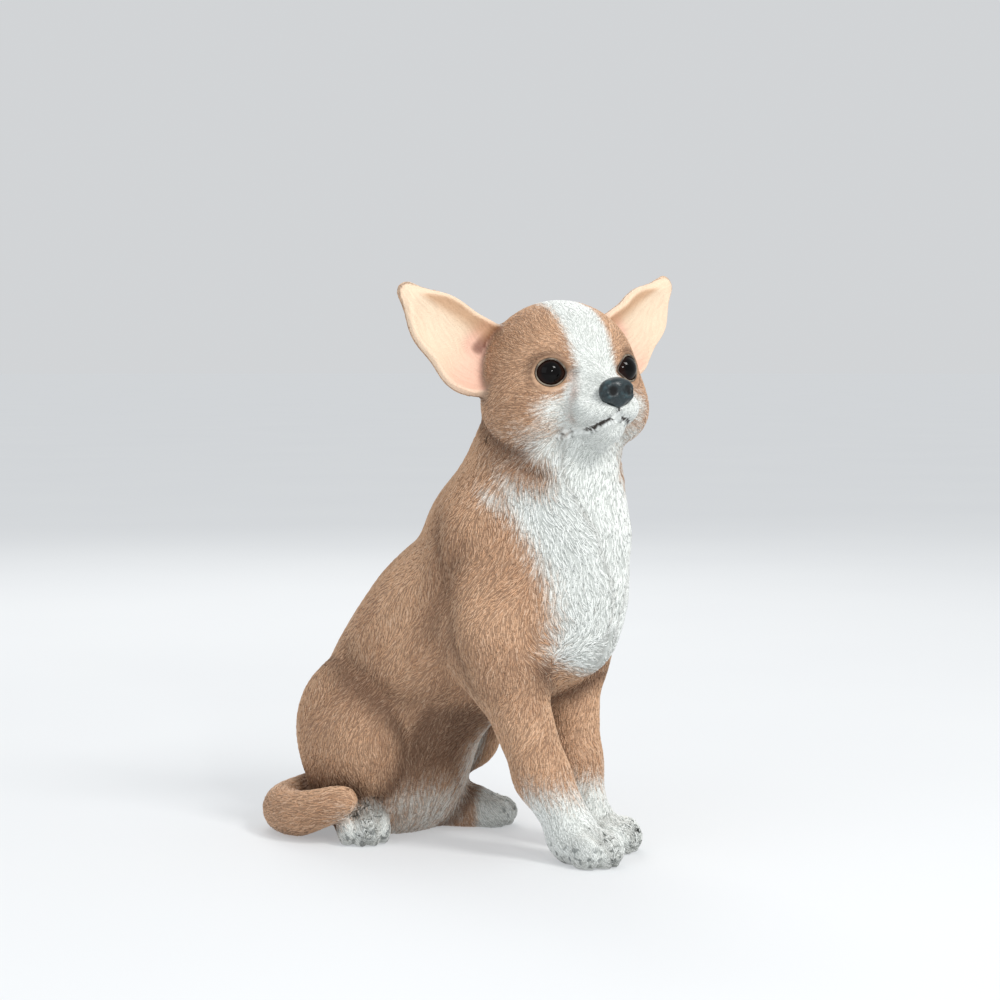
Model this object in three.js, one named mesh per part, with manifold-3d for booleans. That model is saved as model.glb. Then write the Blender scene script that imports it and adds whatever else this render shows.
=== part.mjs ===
// A sitting chihuahua puppy, a painted cast-resin statue, as a museum or garden shows it.
// Millimetres. While it is shaped, the dog faces -Y, its left side is +X and the floor is z = 0.
// The body is one lump of modelling clay, described by a field that is negative inside. Each part
// is the same lump inside its own cutting box, so that neighbours meet face to face.
import * as THREE from 'three';
import { mergeVertices } from 'three/addons/utils/BufferGeometryUtils.js';
import Module from 'manifold-3d';

const wasm = await Module();
wasm.setup();

// Driving dimensions
const GAP = 0.3;
const HEAD_AT = [0, 24, 235];
const HEAD_TURN = 24;
const HEAD_RAISE = 4;
const HEAD_ROLL = 2.5;

// Small vector helpers
const rad = THREE.MathUtils.degToRad;
const add = (a, b) => [a[0] + b[0], a[1] + b[1], a[2] + b[2]];
const scaled = (a, k) => [a[0] * k, a[1] * k, a[2] * k];
const mix = (a, b, t) => [0, 1, 2].map((i) => a[i] + (b[i] - a[i]) * t);
const unit = (a) => scaled(a, 1 / Math.hypot(...a));
const cross = (a, b) => [
  a[1] * b[2] - a[2] * b[1], a[2] * b[0] - a[0] * b[2], a[0] * b[1] - a[1] * b[0]];
const dot = (a, b) => a[0] * b[0] + a[1] * b[1] + a[2] * b[2];

// Three axes of a turned piece: x, y and z of its own frame in the dog's frame
function axesOf(turnX, turnY, turnZ) {
  const e = new THREE.Matrix4().makeRotationFromEuler(
    new THREE.Euler(rad(turnX), rad(turnY), rad(turnZ), 'ZXY')).elements;
  return [[e[0], e[1], e[2]], [e[4], e[5], e[6]], [e[8], e[9], e[10]]];
}
const STRAIGHT = axesOf(0, 0, 0);
const HEAD_AXES = axesOf(-HEAD_RAISE, -HEAD_ROLL, -HEAD_TURN);

const outOf = (axes, q) => [0, 1, 2].map((i) => axes[0][i] * q[0] + axes[1][i] * q[1] + axes[2][i] * q[2]);
const headPoint = (q) => add(HEAD_AT, outOf(HEAD_AXES, q));
const headDirection = (q) => outOf(HEAD_AXES, q);

// Distance to an ellipsoid
function blob(centre, radii, axes = STRAIGHT) {
  const [[ax, ay, az], [bx, by, bz], [cx, cy, cz]] = axes;
  const [rx, ry, rz] = radii;
  return (p) => {
    const dx = p[0] - centre[0];
    const dy = p[1] - centre[1];
    const dz = p[2] - centre[2];
    const x = (ax * dx + ay * dy + az * dz) / rx;
    const y = (bx * dx + by * dy + bz * dz) / ry;
    const z = (cx * dx + cy * dy + cz * dz) / rz;
    const near = Math.hypot(x, y, z);
    return near * (near - 1) / Math.max(Math.hypot(x / rx, y / ry, z / rz), 1e-6);
  };
}

// Distance to a limb: the round hull of two balls
function limb(from, to, r1, r2) {
  const along = [to[0] - from[0], to[1] - from[1], to[2] - from[2]];
  const length = Math.hypot(...along);
  const dir = scaled(along, 1 / length);
  const slope = (r1 - r2) / length;
  const cosine = Math.sqrt(1 - slope * slope);
  return (p) => {
    const d = [p[0] - from[0], p[1] - from[1], p[2] - from[2]];
    const y = dot(d, dir);
    const x = Math.sqrt(Math.max(dot(d, d) - y * y, 0));
    const k = y - x * slope / cosine;
    if (k < 0) return Math.hypot(x, y) - r1;
    if (k > length) return Math.hypot(x, y - length) - r2;
    return x * cosine + y * slope - r1;
  };
}

// A limb pressed flat along one of its axes, as a leaf is
function leaf(from, to, r1, r2, facing, squash) {
  const pressed = (v) => add(v, scaled(facing, dot(v, facing) * (squash - 1)));
  const round = limb(pressed(from), pressed(to), r1, r2);
  return (p) => round(pressed(p)) / squash * 1.4;
}

const blendTwo = (a, b, k) => {
  const h = Math.max(k - Math.abs(a - b), 0) / k;
  return Math.min(a, b) - h * h * k * 0.25;
};
const joined = (k, parts) => (p) => {
  let d = parts[0](p);
  for (let i = 1; i < parts.length; i++) d = blendTwo(d, parts[i](p), k);
  return d;
};
const carved = (k, body, tool) => (p) => -blendTwo(-body(p), tool(p), k);

// Torso
function torsoClay() {
  const spine = joined(26, [
    blob([0, 36, 130], [36, 42, 44]),
    blob([0, 66, 118], [39, 50, 49]),
    blob([0, 103, 95], [37, 43, 45]),
    blob([0, 128, 58], [38, 42, 46]),
    blob([0, 136, 24], [36, 38, 30])]);
  const keel = limb([0, 6, 134], [0, 16, 106], 13, 16);
  const throat = [-1, 1].map((side) => limb([side * 5, 15, 158], [side * 10.5, 21, 191], 20.8, 16.8));
  const withers = blob([0, 74, 158], [20, 22, 18]);
  const sides = [-1, 1].flatMap((side) => [
    blob([side * 25, 52, 130], [16, 26, 36]),
    blob([side * 29, 40, 104], [16, 22, 26])]);
  return joined(14, [spine, keel, ...throat, withers, ...sides]);
}

// Neck
function neckClay() {
  return limb([0, 50, 160], [0, 32, 208], 37, 31);
}

// Forelegs: elbow, wrist and paw of each side
const FORELEGS = {
  right: { side: -1, shoulder: [-28, 44, 104], elbow: [-29, 36, 88], wrist: [-20, 22, 40], pastern: [-17, 10, 20], paw: [-17, 0, 0], heading: -4 },
  left: { side: 1, shoulder: [26, 46, 104], elbow: [24, 38, 88], wrist: [15, 27, 42], pastern: [14, 21, 22], paw: [15, 11, 0], heading: 6 },
};
function forelegClay({ shoulder, elbow, wrist, pastern }) {
  return joined(8, [
    limb(shoulder, elbow, 20, 16.5),
    limb(elbow, wrist, 16.5, 12.4),
    limb(wrist, pastern, 12.4, 11.6)]);
}
// Paw: a pad and four toes, the middle two ahead of the others
const FOREPAW = [40, 29, 20];
const HINDPAW = [40, 27, 19];
function pawClay([x, y], heading, [length, width, height]) {
  const axes = axesOf(0, 0, heading);
  const at = (q) => add([x, y, 0], outOf(axes, q));
  const toes = [-1.5, -0.5, 0.5, 1.5].map((place) => {
    const ahead = length * (0.33 - 0.06 * place * place);
    return blob(at([place * width * 0.22, -ahead, height * 0.37]),
      [width * 0.165, length * 0.23, height * 0.43], axes);
  });
  const pad = blob(at([0, length * 0.05, height * 0.46]), [width * 0.43, length * 0.42, height * 0.56], axes);
  return joined(2.5, [pad, ...toes]);
}

// Hind legs
const HINDLEGS = {
  right: { side: -1, knee: [-35, 120, 50], foot: [-37, 121, 0], heading: -38 },
  left: { side: 1, knee: [37, 109, 51], foot: [30, 98, 0], heading: 40 },
};
function hindlegClay({ side, knee, foot, heading }) {
  const axes = axesOf(0, 0, heading);
  const hock = add(foot, outOf(axes, [0, 26, 13]));
  const toe = add(foot, outOf(axes, [0, 1, 8.5]));
  return joined(9, [
    blob([side * 30, 133, 53], [17, 33, 37]),
    blob(knee, [13, 20, 24]),
    limb(hock, toe, 11, 8.5)]);
}

// Tail: it leaves the rump behind, lies on the floor and curls forward round the right side
const TAIL = [[2, 158, 18], [-20, 172, 12.5], [-38, 169, 11.5], [-50, 152, 12], [-54, 134, 17], [-52, 120, 22]];
const TAIL_RADII = [13, 12, 11.4, 10.6, 9, 7.5];
const TAIL_STEPS = 3;
// A soft curve through places that each have a radius as their fourth number
function smoothLine(places, steps) {
  const beyondEnd = (a, b) => a.map((value, i) => 2 * value - b[i]);
  const all = [beyondEnd(places[0], places[1]), ...places, beyondEnd(places.at(-1), places.at(-2))];
  const line = [];
  for (let i = 1; i < all.length - 2; i++) {
    for (let n = 0; n < steps; n++) {
      const t = n / steps;
      line.push(all[i].map((b, axis) => {
        const [a, c, d] = [all[i - 1][axis], all[i + 1][axis], all[i + 2][axis]];
        return 0.5 * (2 * b + (c - a) * t + (2 * a - 5 * b + 4 * c - d) * t * t + (3 * b - a - 3 * c + d) * t ** 3);
      }));
    }
  }
  return [...line, places.at(-1)];
}
function tailClay() {
  const line = smoothLine(TAIL.map((place, i) => [...place, TAIL_RADII[i]]), TAIL_STEPS);
  return joined(3, line.slice(1).map((end, i) => limb(line[i], end, line[i][3], end[3])));
}

// Head
const EYE_RADIUS = 8.3;
const eyeCentre = (side) => headPoint([side * 19.8, -19, -2]);
function headClay() {
  const at = headPoint;
  const skull = joined(16, [
    blob(at([0, 4, -2]), [38.5, 35, 36], HEAD_AXES),
    ...[-1, 1].map((side) => blob(at([side * 24, -1, -22]), [16.5, 23, 16], HEAD_AXES))]);
  const muzzle = joined(8, [
    limb(at([0, -22, -15]), at([-1, -38.5, -16]), 16, 11),
    ...[-1, 1].map((side) => blob(at([side * 7.5 - 1, -36, -20.5]), [9, 12, 8.5], HEAD_AXES)),
    limb(at([0, -16, -27]), at([-1, -35.5, -30.3]), 13, 7.6)]);
  const lids = [-1, 1].map((side) => blob(eyeCentre(side), [9.7, 9.7, 9.3], HEAD_AXES));
  return joined(4, [joined(9, [skull, muzzle]), ...lids]);
}
const EARS = {
  right: { side: -1, root: [-42, 12, 9.5], middle: [-55.5, 18, 25.5], tip: [-69, 24, 42], radii: [20.3, 14.2, 5.5] },
  left: { side: 1, root: [42.5, 11, 11.5], middle: [60, 15.5, 26], tip: [76, 20, 40.5], radii: [18, 12.6, 5.5] },
};
const EAR_WALL = 2;
const EAR_DEPTH = 6.5;
const earFacing = (side) => headDirection(unit([side * 0.25, -0.93, 0.2]));
function earClay({ side, root, middle, tip, radii }) {
  const facing = earFacing(side);
  const line = [root, middle, tip].map(headPoint);
  const shape = (forward, wall) => {
    const [a, b, c] = line.map((point) => add(point, scaled(facing, forward)));
    return joined(5, [
      leaf(a, b, radii[0] - wall, radii[1] - wall, facing, 2.1),
      leaf(b, c, radii[1] - wall, radii[2] - wall * 0.6, facing, 2.1)]);
  };
  return carved(1.5, shape(0, 0), shape(EAR_DEPTH, EAR_WALL));
}
const NOSE_AT = [-1.4, -48, -12.8];
function noseClay() {
  const leather = blob(headPoint(NOSE_AT), [8.2, 6, 6.8], HEAD_AXES);
  const nostrils = [-1, 1].map((side) => (
    blob(headPoint(add(NOSE_AT, [side * 5, -5.5, -1])), [2.2, 2.6, 1.8], HEAD_AXES)));
  return nostrils.reduce((left, nostril) => carved(1, left, nostril), leather);
}

const torso = torsoClay();
const neck = neckClay();
const head = headClay();
const ears = { left: earClay(EARS.left), right: earClay(EARS.right) };
const nose = noseClay();
const tail = tailClay();
for (const leg of Object.values(FORELEGS)) leg.clay = [forelegClay(leg), pawClay(leg.paw, leg.heading, FOREPAW)];
for (const leg of Object.values(HINDLEGS)) leg.clay = [hindlegClay(leg), pawClay(leg.foot, leg.heading, HINDPAW)];
const legs = [...Object.values(FORELEGS), ...Object.values(HINDLEGS)].flatMap((leg) => leg.clay);

// The whole lump but for the tail and the nose, which are pieces pressed into it
const body = (p) => {
  let d = blendTwo(torso(p), neck(p), 22);
  for (const leg of legs) d = blendTwo(d, leg(p), 8);
  d = blendTwo(d, head(p), 4);
  for (const ear of [ears.left, ears.right]) d = blendTwo(d, ear(p), 4);
  return d;
};
export const dog = (p) => Math.max(blendTwo(Math.min(body(p), nose(p)), tail(p), 3), -p[2]);

// The twelve edges of a cell, and on each of its faces the four edges in a ring with the corners between
const othersOf = (axis) => [0, 1, 2].filter((a) => a !== axis);
const cellEdge = (axis, from) => axis * 4 + from[othersOf(axis)[0]] + 2 * from[othersOf(axis)[1]];
const CELL_EDGES = [0, 1, 2].flatMap((axis) => [0, 1, 2, 3].map((n) => {
  const from = [0, 0, 0];
  from[othersOf(axis)[0]] = n & 1;
  from[othersOf(axis)[1]] = n >> 1;
  return { axis, from };
}));
const CELL_FACES = [0, 1, 2].flatMap((axis) => [0, 1].map((side) => {
  const [u, v] = othersOf(axis);
  const at = (i, j) => {
    const corner = [0, 0, 0];
    corner[axis] = side;
    corner[u] = i;
    corner[v] = j;
    return corner;
  };
  return [
    { edge: cellEdge(u, at(0, 0)), corner: at(0, 0) }, { edge: cellEdge(v, at(1, 0)), corner: at(1, 0) },
    { edge: cellEdge(u, at(0, 1)), corner: at(1, 1) }, { edge: cellEdge(v, at(0, 0)), corner: at(0, 1) }];
}));

// Skin of a field inside a box: each sheet of the surface in a cell has one vertex, drawn on to it
function skinOf(field, low, high, cell) {
  const size = low.map((from, i) => Math.ceil((high[i] - from) / cell) + 3);
  const start = low.map((from) => from - cell * 1.37);
  const middle = low.map((from, i) => (from + high[i]) / 2);
  const half = low.map((from, i) => (high[i] - from) / 2);
  const inside = (p) => Math.max(field(p), ...[0, 1, 2].map((i) => Math.abs(p[i] - middle[i]) - half[i]));
  const corner = (i, j, k) => (k * size[1] + j) * size[0] + i;
  const step = [1, size[0], size[0] * size[1]];
  const place = (i, j, k) => [start[0] + i * cell, start[1] + j * cell, start[2] + k * cell];
  const eachCell = (margin, work) => {
    for (let k = margin; k < size[2] - 1; k++) {
      for (let j = margin; j < size[1] - 1; j++) {
        for (let i = margin; i < size[0] - 1; i++) work(i, j, k);
      }
    }
  };
  const depth = new Float64Array(size[0] * size[1] * size[2]).fill(cell);
  eachCell(0, (i, j, k) => { depth[corner(i, j, k)] = inside(place(i, j, k)); });

  const slopeAt = (p) => [0, 1, 2].map((axis) => {
    const ahead = [...p];
    const behind = [...p];
    ahead[axis] += 0.05 * cell;
    behind[axis] -= 0.05 * cell;
    return (inside(ahead) - inside(behind)) / (0.1 * cell);
  });
  const drawnOn = (mean) => {
    let point = mean;
    for (let turn = 0; turn < 2; turn++) {
      const slope = slopeAt(point);
      point = add(point, scaled(slope, -inside(point) / Math.max(dot(slope, slope), 0.25)));
    }
    const away = Math.hypot(...[0, 1, 2].map((a) => point[a] - mean[a]));
    return away > 0.45 * cell ? mix(mean, point, 0.45 * cell / away) : point;
  };

  const vertexOf = new Map();
  const vertices = [];
  eachCell(0, (i, j, k) => {
    const crossing = CELL_EDGES.map(({ axis, from }) => {
      const at = corner(i + from[0], j + from[1], k + from[2]);
      const a = depth[at];
      const b = depth[at + step[axis]];
      if ((a < 0) === (b < 0)) return null;
      const q = [i + from[0], j + from[1], k + from[2]];
      q[axis] += a / (a - b);
      return place(...q);
    });
    if (!crossing.some(Boolean)) return;
    const sheet = crossing.map((_, edge) => edge);
    const tie = (a, b) => {
      const old = sheet[b];
      sheet.forEach((value, edge) => { if (value === old) sheet[edge] = sheet[a]; });
    };
    for (const ring of CELL_FACES) {
      const crossed = ring.filter(({ edge }) => crossing[edge]);
      if (crossed.length === 2) tie(crossed[0].edge, crossed[1].edge);
      if (crossed.length < 4) continue;
      ring.forEach(({ edge, corner: c }, n) => {
        if (depth[corner(i + c[0], j + c[1], k + c[2])] < 0) tie(edge, ring[(n + 3) % 4].edge);
      });
    }
    const own = {};
    for (const name of new Set(sheet.filter((_, edge) => crossing[edge]))) {
      const points = crossing.filter((q, edge) => q && sheet[edge] === name);
      const mean = [0, 1, 2].map((a) => points.reduce((sum, q) => sum + q[a], 0) / points.length);
      own[name] = vertices.length / 3;
      vertices.push(...drawnOn(mean));
    }
    vertexOf.set(corner(i, j, k), sheet.map((name) => own[name]));
  });

  const faces = [];
  const apart = (a, b) => Math.hypot(...[0, 1, 2].map((n) => vertices[a * 3 + n] - vertices[b * 3 + n]));
  eachCell(1, (i, j, k) => {
    const at = corner(i, j, k);
    for (let axis = 0; axis < 3; axis++) {
      const a = depth[at];
      if ((a < 0) === (depth[at + step[axis]] < 0)) continue;
      const u = (axis + 1) % 3;
      const v = (axis + 2) % 3;
      let ring = [[1, 1], [0, 1], [0, 0], [1, 0]].map(([behindU, behindV]) => {
        const from = [0, 0, 0];
        from[u] = behindU;
        from[v] = behindV;
        return vertexOf.get(at - behindU * step[u] - behindV * step[v])[cellEdge(axis, from)];
      });
      if (a >= 0) ring = ring.reverse();
      if (apart(ring[0], ring[2]) > apart(ring[1], ring[3])) ring = [ring[1], ring[2], ring[3], ring[0]];
      faces.push(ring[0], ring[1], ring[2], ring[0], ring[2], ring[3]);
    }
  });
  const geometry = new THREE.BufferGeometry();
  geometry.setAttribute('position', new THREE.Float32BufferAttribute(vertices, 3));
  geometry.setIndex(faces);
  return geometry;
}

// The same for a thin leaf: its cells are half as deep through the leaf as they are wide
function leafSkinOf(field, middle, facing, reach, cell) {
  const across = unit(cross(facing, [0, 0, 1]));
  const axes = [across, facing, cross(across, facing)];
  const thin = 0.5;
  const outward = (q) => add(middle, outOf(axes, [q[0], q[1] * thin, q[2]]));
  const geometry = skinOf((q) => field(outward(q)), [-reach, -reach / thin, -reach], [reach, reach / thin, reach], cell);
  const points = geometry.attributes.position;
  for (let i = 0; i < points.count; i++) {
    points.setXYZ(i, ...outward([points.getX(i), points.getY(i), points.getZ(i)]));
  }
  return geometry;
}

// Solids that join and cut
function solidOf(geometry) {
  geometry.deleteAttribute('normal');
  geometry.deleteAttribute('uv');
  const merged = mergeVertices(geometry, 1e-4);
  return new wasm.Manifold(new wasm.Mesh({
    numProp: 3,
    vertProperties: new Float32Array(merged.attributes.position.array),
    triVerts: new Uint32Array(merged.index.array),
  }));
}
function placed(geometry, centre, axes = STRAIGHT) {
  const turn = new THREE.Matrix4().makeBasis(...axes.map((a) => new THREE.Vector3(...a)));
  return solidOf(geometry.applyMatrix4(turn.setPosition(...centre)));
}
// A cutting block, larger by the grow on every side
function block({ centre, size, axes = STRAIGHT }, grow = 0) {
  return placed(new THREE.BoxGeometry(...size.map((s) => s + 2 * grow)), centre, axes);
}
// A block whose near face passes through a point, and which reaches away along a direction
function beyond(point, direction, reach = 400) {
  const z = unit(direction);
  const x = unit(cross(Math.abs(z[2]) > 0.9 ? [0, 1, 0] : [0, 0, 1], z));
  return { centre: add(point, scaled(z, reach / 2)), size: [reach, reach, reach], axes: [x, cross(z, x), z] };
}
// A block given in the head's own frame
const headBlock = (low, high) => ({
  centre: headPoint(mix(low, high, 0.5)),
  size: [0, 1, 2].map((i) => high[i] - low[i]),
  axes: HEAD_AXES,
});
const largest = (solid) => solid.decompose().sort((a, b) => b.volume() - a.volume())[0];

// Cuts leave vertices closer together than a hair, which are drawn into one
const FINEST = 0.002;
function withoutSlivers(positions, corners) {
  const geometry = new THREE.BufferGeometry();
  geometry.setAttribute('position', new THREE.Float32BufferAttribute(positions, 3));
  geometry.setIndex(new THREE.BufferAttribute(new Uint32Array(corners), 1));
  const merged = mergeVertices(geometry, FINEST);
  const faces = [];
  for (let i = 0; i < merged.index.count; i += 3) {
    const face = [0, 1, 2].map((n) => merged.index.getX(i + n));
    if (new Set(face).size === 3) faces.push(...face);
  }
  merged.setIndex(faces);
  return merged;
}

const group = new THREE.Group();
function addPart(name, solid, material) {
  const mesh = largest(solid).getMesh();
  const part = new THREE.Mesh(withoutSlivers(mesh.vertProperties, mesh.triVerts), material);
  part.name = name;
  group.add(part);
}
const paint = (color, roughness) => new THREE.MeshStandardMaterial({ color, roughness, metalness: 0 });
const fawn = paint('#c08f68', 0.6);
const white = paint('#e6e6e2', 0.6);
const innerEar = paint('#dcb8a0', 0.6);
const noseBlack = paint('#26363a', 0.35);
const eyeGlass = paint('#120b08', 0.08);

// Where the lump is parted
const FAR = 400;
const meeting = (...blocks) => (grow) => blocks.map((b) => block(b, grow)).reduce((a, b) => a.intersect(b));
const either = (...blocks) => (grow) => blocks.map((b) => block(b, grow)).reduce((a, b) => a.add(b));
const headCut = beyond([0, 30, 200], [0, -0.36, 0.93], FAR);
const neckCut = beyond([0, 40, 164], [0, -0.3, 0.95], FAR);
const floorCut = beyond([0, 0, 0], [0, 0, 1], FAR);
const region = {
  aboveFloor: meeting(floorCut),
  head: meeting(headCut),
  aboveTorso: meeting(neckCut),
  muzzle: meeting(headBlock([-26, -80, -28.7], [26, -28, -7])),
  jaw: meeting(headBlock([-17, -70, -41.5], [17, -22, -29.3])),
};
const earRegion = (side) => meeting(
  beyond(headPoint([side * 36.3, 10, 10]), headDirection([side * 0.93, 0.1, 0.3]), FAR));
const footBlock = ([x, y], heading, wide, back, tall) => ({
  centre: add([x, y, 0], outOf(axesOf(0, 0, heading), [0, back - 40, tall / 2 - 10])),
  size: [wide, 80, tall + 20],
  axes: axesOf(0, 0, heading),
});
const forelegRegion = (side) => meeting(
  { centre: [side * 41, 8, 40], size: [80, 98, 180] },
  beyond([side * 12, 40, 80], [side * 0.5, 0, -0.87], FAR));
const forepawRegion = ({ paw, heading }) => meeting(footBlock(paw, heading, 40, 24, 20));
const hindlegRegion = ({ side, foot, heading }) => either(
  { centre: [side * 60, 140, 30], size: [80, 108, 110], axes: axesOf(15, 0, 0) },
  footBlock(foot, heading, 28, 34, 20));
const hindpawRegion = ({ foot, heading }) => meeting(footBlock(foot, heading, 40, 7, 22));

const within = (solid, where) => solid.intersect(where(0));
const without = (solid, ...places) => places.reduce((left, where) => left.subtract(where(GAP)), solid);

// Skins, each only as fine as its part needs
const CELL = { nose: 2.6, face: 3.3, ear: 4.6, paw: 4.6, head: 5.8, tail: 6.6, leg: 7.6, neck: 9, torso: 10 };
const bodyWith = (legs) => (p) => {
  let d = blendTwo(torso(p), neck(p), 22);
  for (const leg of legs) d = blendTwo(d, leg(p), 8);
  return d;
};
const around = (points, reach) => [
  [0, 1, 2].map((i) => Math.min(...points.map((q) => q[i])) - reach),
  [0, 1, 2].map((i) => Math.max(...points.map((q) => q[i])) + reach)];
const clay = (field, [low, high], cell) => solidOf(skinOf(field, low, high, cell));

// Sockets that the tail, the nose and the eyes sit in
const tailBox = around(TAIL, 20);
const tailSolid = within(clay(tail, tailBox, CELL.tail), region.aboveFloor);
const tailSocket = clay((p) => tail(p) - 2.5 * GAP, tailBox, CELL.tail);
const noseBox = around([headPoint(NOSE_AT)], 12);
const noseSolid = clay(nose, noseBox, CELL.nose);
const noseSocket = clay((p) => nose(p) - 1.5 * GAP, noseBox, CELL.nose);
const ball = (radii, centre, axes) => placed(new THREE.SphereGeometry(1, 16, 10).scale(...radii), centre, axes);
const round = (r) => [r, r, r];

function headSolids() {
  const skull = clay(body, [[-66, -45, 172], [66, 82, 285]], CELL.head);
  const face = clay(body, around([headPoint([0, -38, -20])], 34), CELL.face);
  const sockets = [-1, 1].map((side) => ball(round(EYE_RADIUS + GAP), eyeCentre(side), HEAD_AXES)
    .add(ball([7.2, 7, 6], add(eyeCentre(side), headDirection([side * 2.4, -6, 0.3])), HEAD_AXES)));
  const bare = without(within(skull, region.head), earRegion(-1), earRegion(1), region.muzzle, region.jaw);
  addPart('head', sockets.reduce((left, socket) => left.subtract(socket), bare.subtract(noseSocket)), fawn);
  addPart('muzzle', without(within(face, region.muzzle), region.jaw).subtract(noseSocket), white);
  addPart('jaw', within(face, region.jaw), white);
  addPart('nose', noseSolid, noseBlack);
  for (const [name, side] of [['left', 1], ['right', -1]]) {
    const middle = mix(headPoint(EARS[name].root), headPoint(EARS[name].tip), 0.4);
    const shell = solidOf(leafSkinOf(body, middle, earFacing(side), 42, CELL.ear));
    addPart(`ear_${name}`, within(shell, earRegion(side)), innerEar);
    addPart(`eye_${name}`, ball(round(EYE_RADIUS), eyeCentre(side), HEAD_AXES), eyeGlass);
  }
}

function legSolids() {
  for (const [name, leg] of Object.entries(FORELEGS)) {
    const own = bodyWith(leg.clay);
    const paw = forepawRegion(leg);
    const upper = clay(own, around([leg.shoulder, leg.wrist, leg.paw], 38), CELL.leg);
    const lower = clay(own, around([leg.paw], 36), CELL.paw);
    const shank = without(within(upper, forelegRegion(leg.side)), paw);
    addPart(`foreleg_${name}`, within(shank, region.aboveFloor), fawn);
    addPart(`forepaw_${name}`, within(within(lower, paw), region.aboveFloor), white);
  }
  for (const [name, leg] of Object.entries(HINDLEGS)) {
    const own = bodyWith(leg.clay);
    const paw = hindpawRegion(leg);
    const haunch = clay(own, around([[leg.side * 30, 133, 53], leg.foot], 46), CELL.leg);
    const toes = clay(own, around([leg.foot], 36), CELL.paw);
    const upper = without(within(haunch, hindlegRegion(leg)), paw).subtract(tailSocket);
    addPart(`hindleg_${name}`, within(upper, region.aboveFloor), fawn);
    const lower = within(within(toes, paw), region.aboveFloor);
    addPart(`hindpaw_${name}`, lower.subtract(tailSocket), white);
  }
}

function trunkSolids() {
  const collar = clay(body, [[-62, -40, 135], [62, 115, 230]], CELL.neck);
  addPart('neck', without(within(collar, region.aboveTorso), region.head, region.jaw), fawn);
  const trunk = clay(body, [[-66, -42, -8], [66, 196, 192]], CELL.torso);
  const legRegions = [
    ...Object.values(FORELEGS).map((leg) => forelegRegion(leg.side)),
    ...Object.values(HINDLEGS).flatMap((leg) => [hindlegRegion(leg), hindpawRegion(leg)])];
  const bare = without(trunk, region.aboveTorso, ...legRegions);
  addPart('torso', within(bare.subtract(tailSocket), region.aboveFloor), fawn);
  addPart('tail', tailSolid, fawn);
}

trunkSolids();
headSolids();
legSolids();

// The origin is under the middle of the whole statue, on the floor
const bounds = new THREE.Box3().setFromObject(group);
group.position.set(-(bounds.min.x + bounds.max.x) / 2, -(bounds.min.y + bounds.max.y) / 2, 0);
export default group;
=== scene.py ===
# %% [markdown]
# # A painted chihuahua puppy statue
# The real thing is one hollow casting of resin. Its hair was carved as fine raised strokes in the
# clay model, then the cast was painted: a dark wash in the grooves, light colour brushed on the
# ridges, white on the chest and feet, and gloss on the eyes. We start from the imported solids.

# %% The fixed frame
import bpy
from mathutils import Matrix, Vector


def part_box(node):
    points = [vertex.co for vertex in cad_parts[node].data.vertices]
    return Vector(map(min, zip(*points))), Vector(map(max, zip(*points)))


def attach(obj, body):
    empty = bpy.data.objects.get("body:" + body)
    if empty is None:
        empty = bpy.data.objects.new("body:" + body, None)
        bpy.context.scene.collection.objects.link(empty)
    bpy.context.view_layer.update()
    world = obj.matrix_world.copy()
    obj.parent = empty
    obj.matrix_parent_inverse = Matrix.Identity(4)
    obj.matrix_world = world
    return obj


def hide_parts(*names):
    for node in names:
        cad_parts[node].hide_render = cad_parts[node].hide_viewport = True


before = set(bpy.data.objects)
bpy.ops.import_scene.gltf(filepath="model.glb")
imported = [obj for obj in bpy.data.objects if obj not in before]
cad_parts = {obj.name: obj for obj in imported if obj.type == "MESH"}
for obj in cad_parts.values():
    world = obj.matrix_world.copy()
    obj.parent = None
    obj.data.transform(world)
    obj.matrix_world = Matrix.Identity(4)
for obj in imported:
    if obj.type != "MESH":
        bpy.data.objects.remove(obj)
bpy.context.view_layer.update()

# %% Libraries
import math
import bmesh
import bpy
import numpy as np
from mathutils import Matrix, Vector
from mathutils.bvhtree import BVHTree

MM = 0.001
START = 20251
rng = np.random.default_rng(START)
print("random numbers start from", START)

# %% [markdown]
# ## The dog's own axes
# The statue was shaped with the dog facing -Y, its left side at +X and millimetres as the unit. The
# head has axes of its own, because it is turned, raised and rolled a little. All the places below
# are given in one of these two frames, which is easier than thinking in world metres.

# %% Head axes and the step from the dog's frame to the world
HEAD_AT = np.array([0.0, 24.0, 235.0])
HEAD_TURN = 24.0
HEAD_RAISE = 4.0
HEAD_ROLL = 2.5
EYE_RADIUS = 8.3
EYE_PLACE = np.array([19.8, -19.0, -2.0])


def turned(turn_x, turn_y, turn_z):
    """Axes of a turned piece as the columns of a matrix."""
    spin = Matrix.Rotation(math.radians(turn_z), 3, "Z") @ Matrix.Rotation(math.radians(turn_x), 3, "X")
    return np.array(spin @ Matrix.Rotation(math.radians(turn_y), 3, "Y"))


STRAIGHT = np.eye(3)
HEAD_AXES = turned(-HEAD_RAISE, -HEAD_ROLL, -HEAD_TURN)


def head_point(x, y, z):
    return HEAD_AT + HEAD_AXES @ np.array([x, y, z], float)


def head_direction(x, y, z):
    return HEAD_AXES @ np.array([x, y, z], float)


def eye_centre(side):
    return head_point(side * EYE_PLACE[0], EYE_PLACE[1], EYE_PLACE[2])


eye_low, eye_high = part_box("eye_left")
SHIFT = np.array((Vector(eye_low) + Vector(eye_high)) / 2) / MM - eye_centre(1)
SHIFT[2] = 0.0
print("the dog's frame lies at", np.round(SHIFT, 2), "mm in the world")


def to_world(points):
    return (np.asarray(points) + SHIFT) * MM


def to_dog(points):
    return np.asarray(points) / MM - SHIFT


def to_head(points):
    """Dog-frame points in the head's own axes."""
    return (points - HEAD_AT) @ HEAD_AXES


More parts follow.
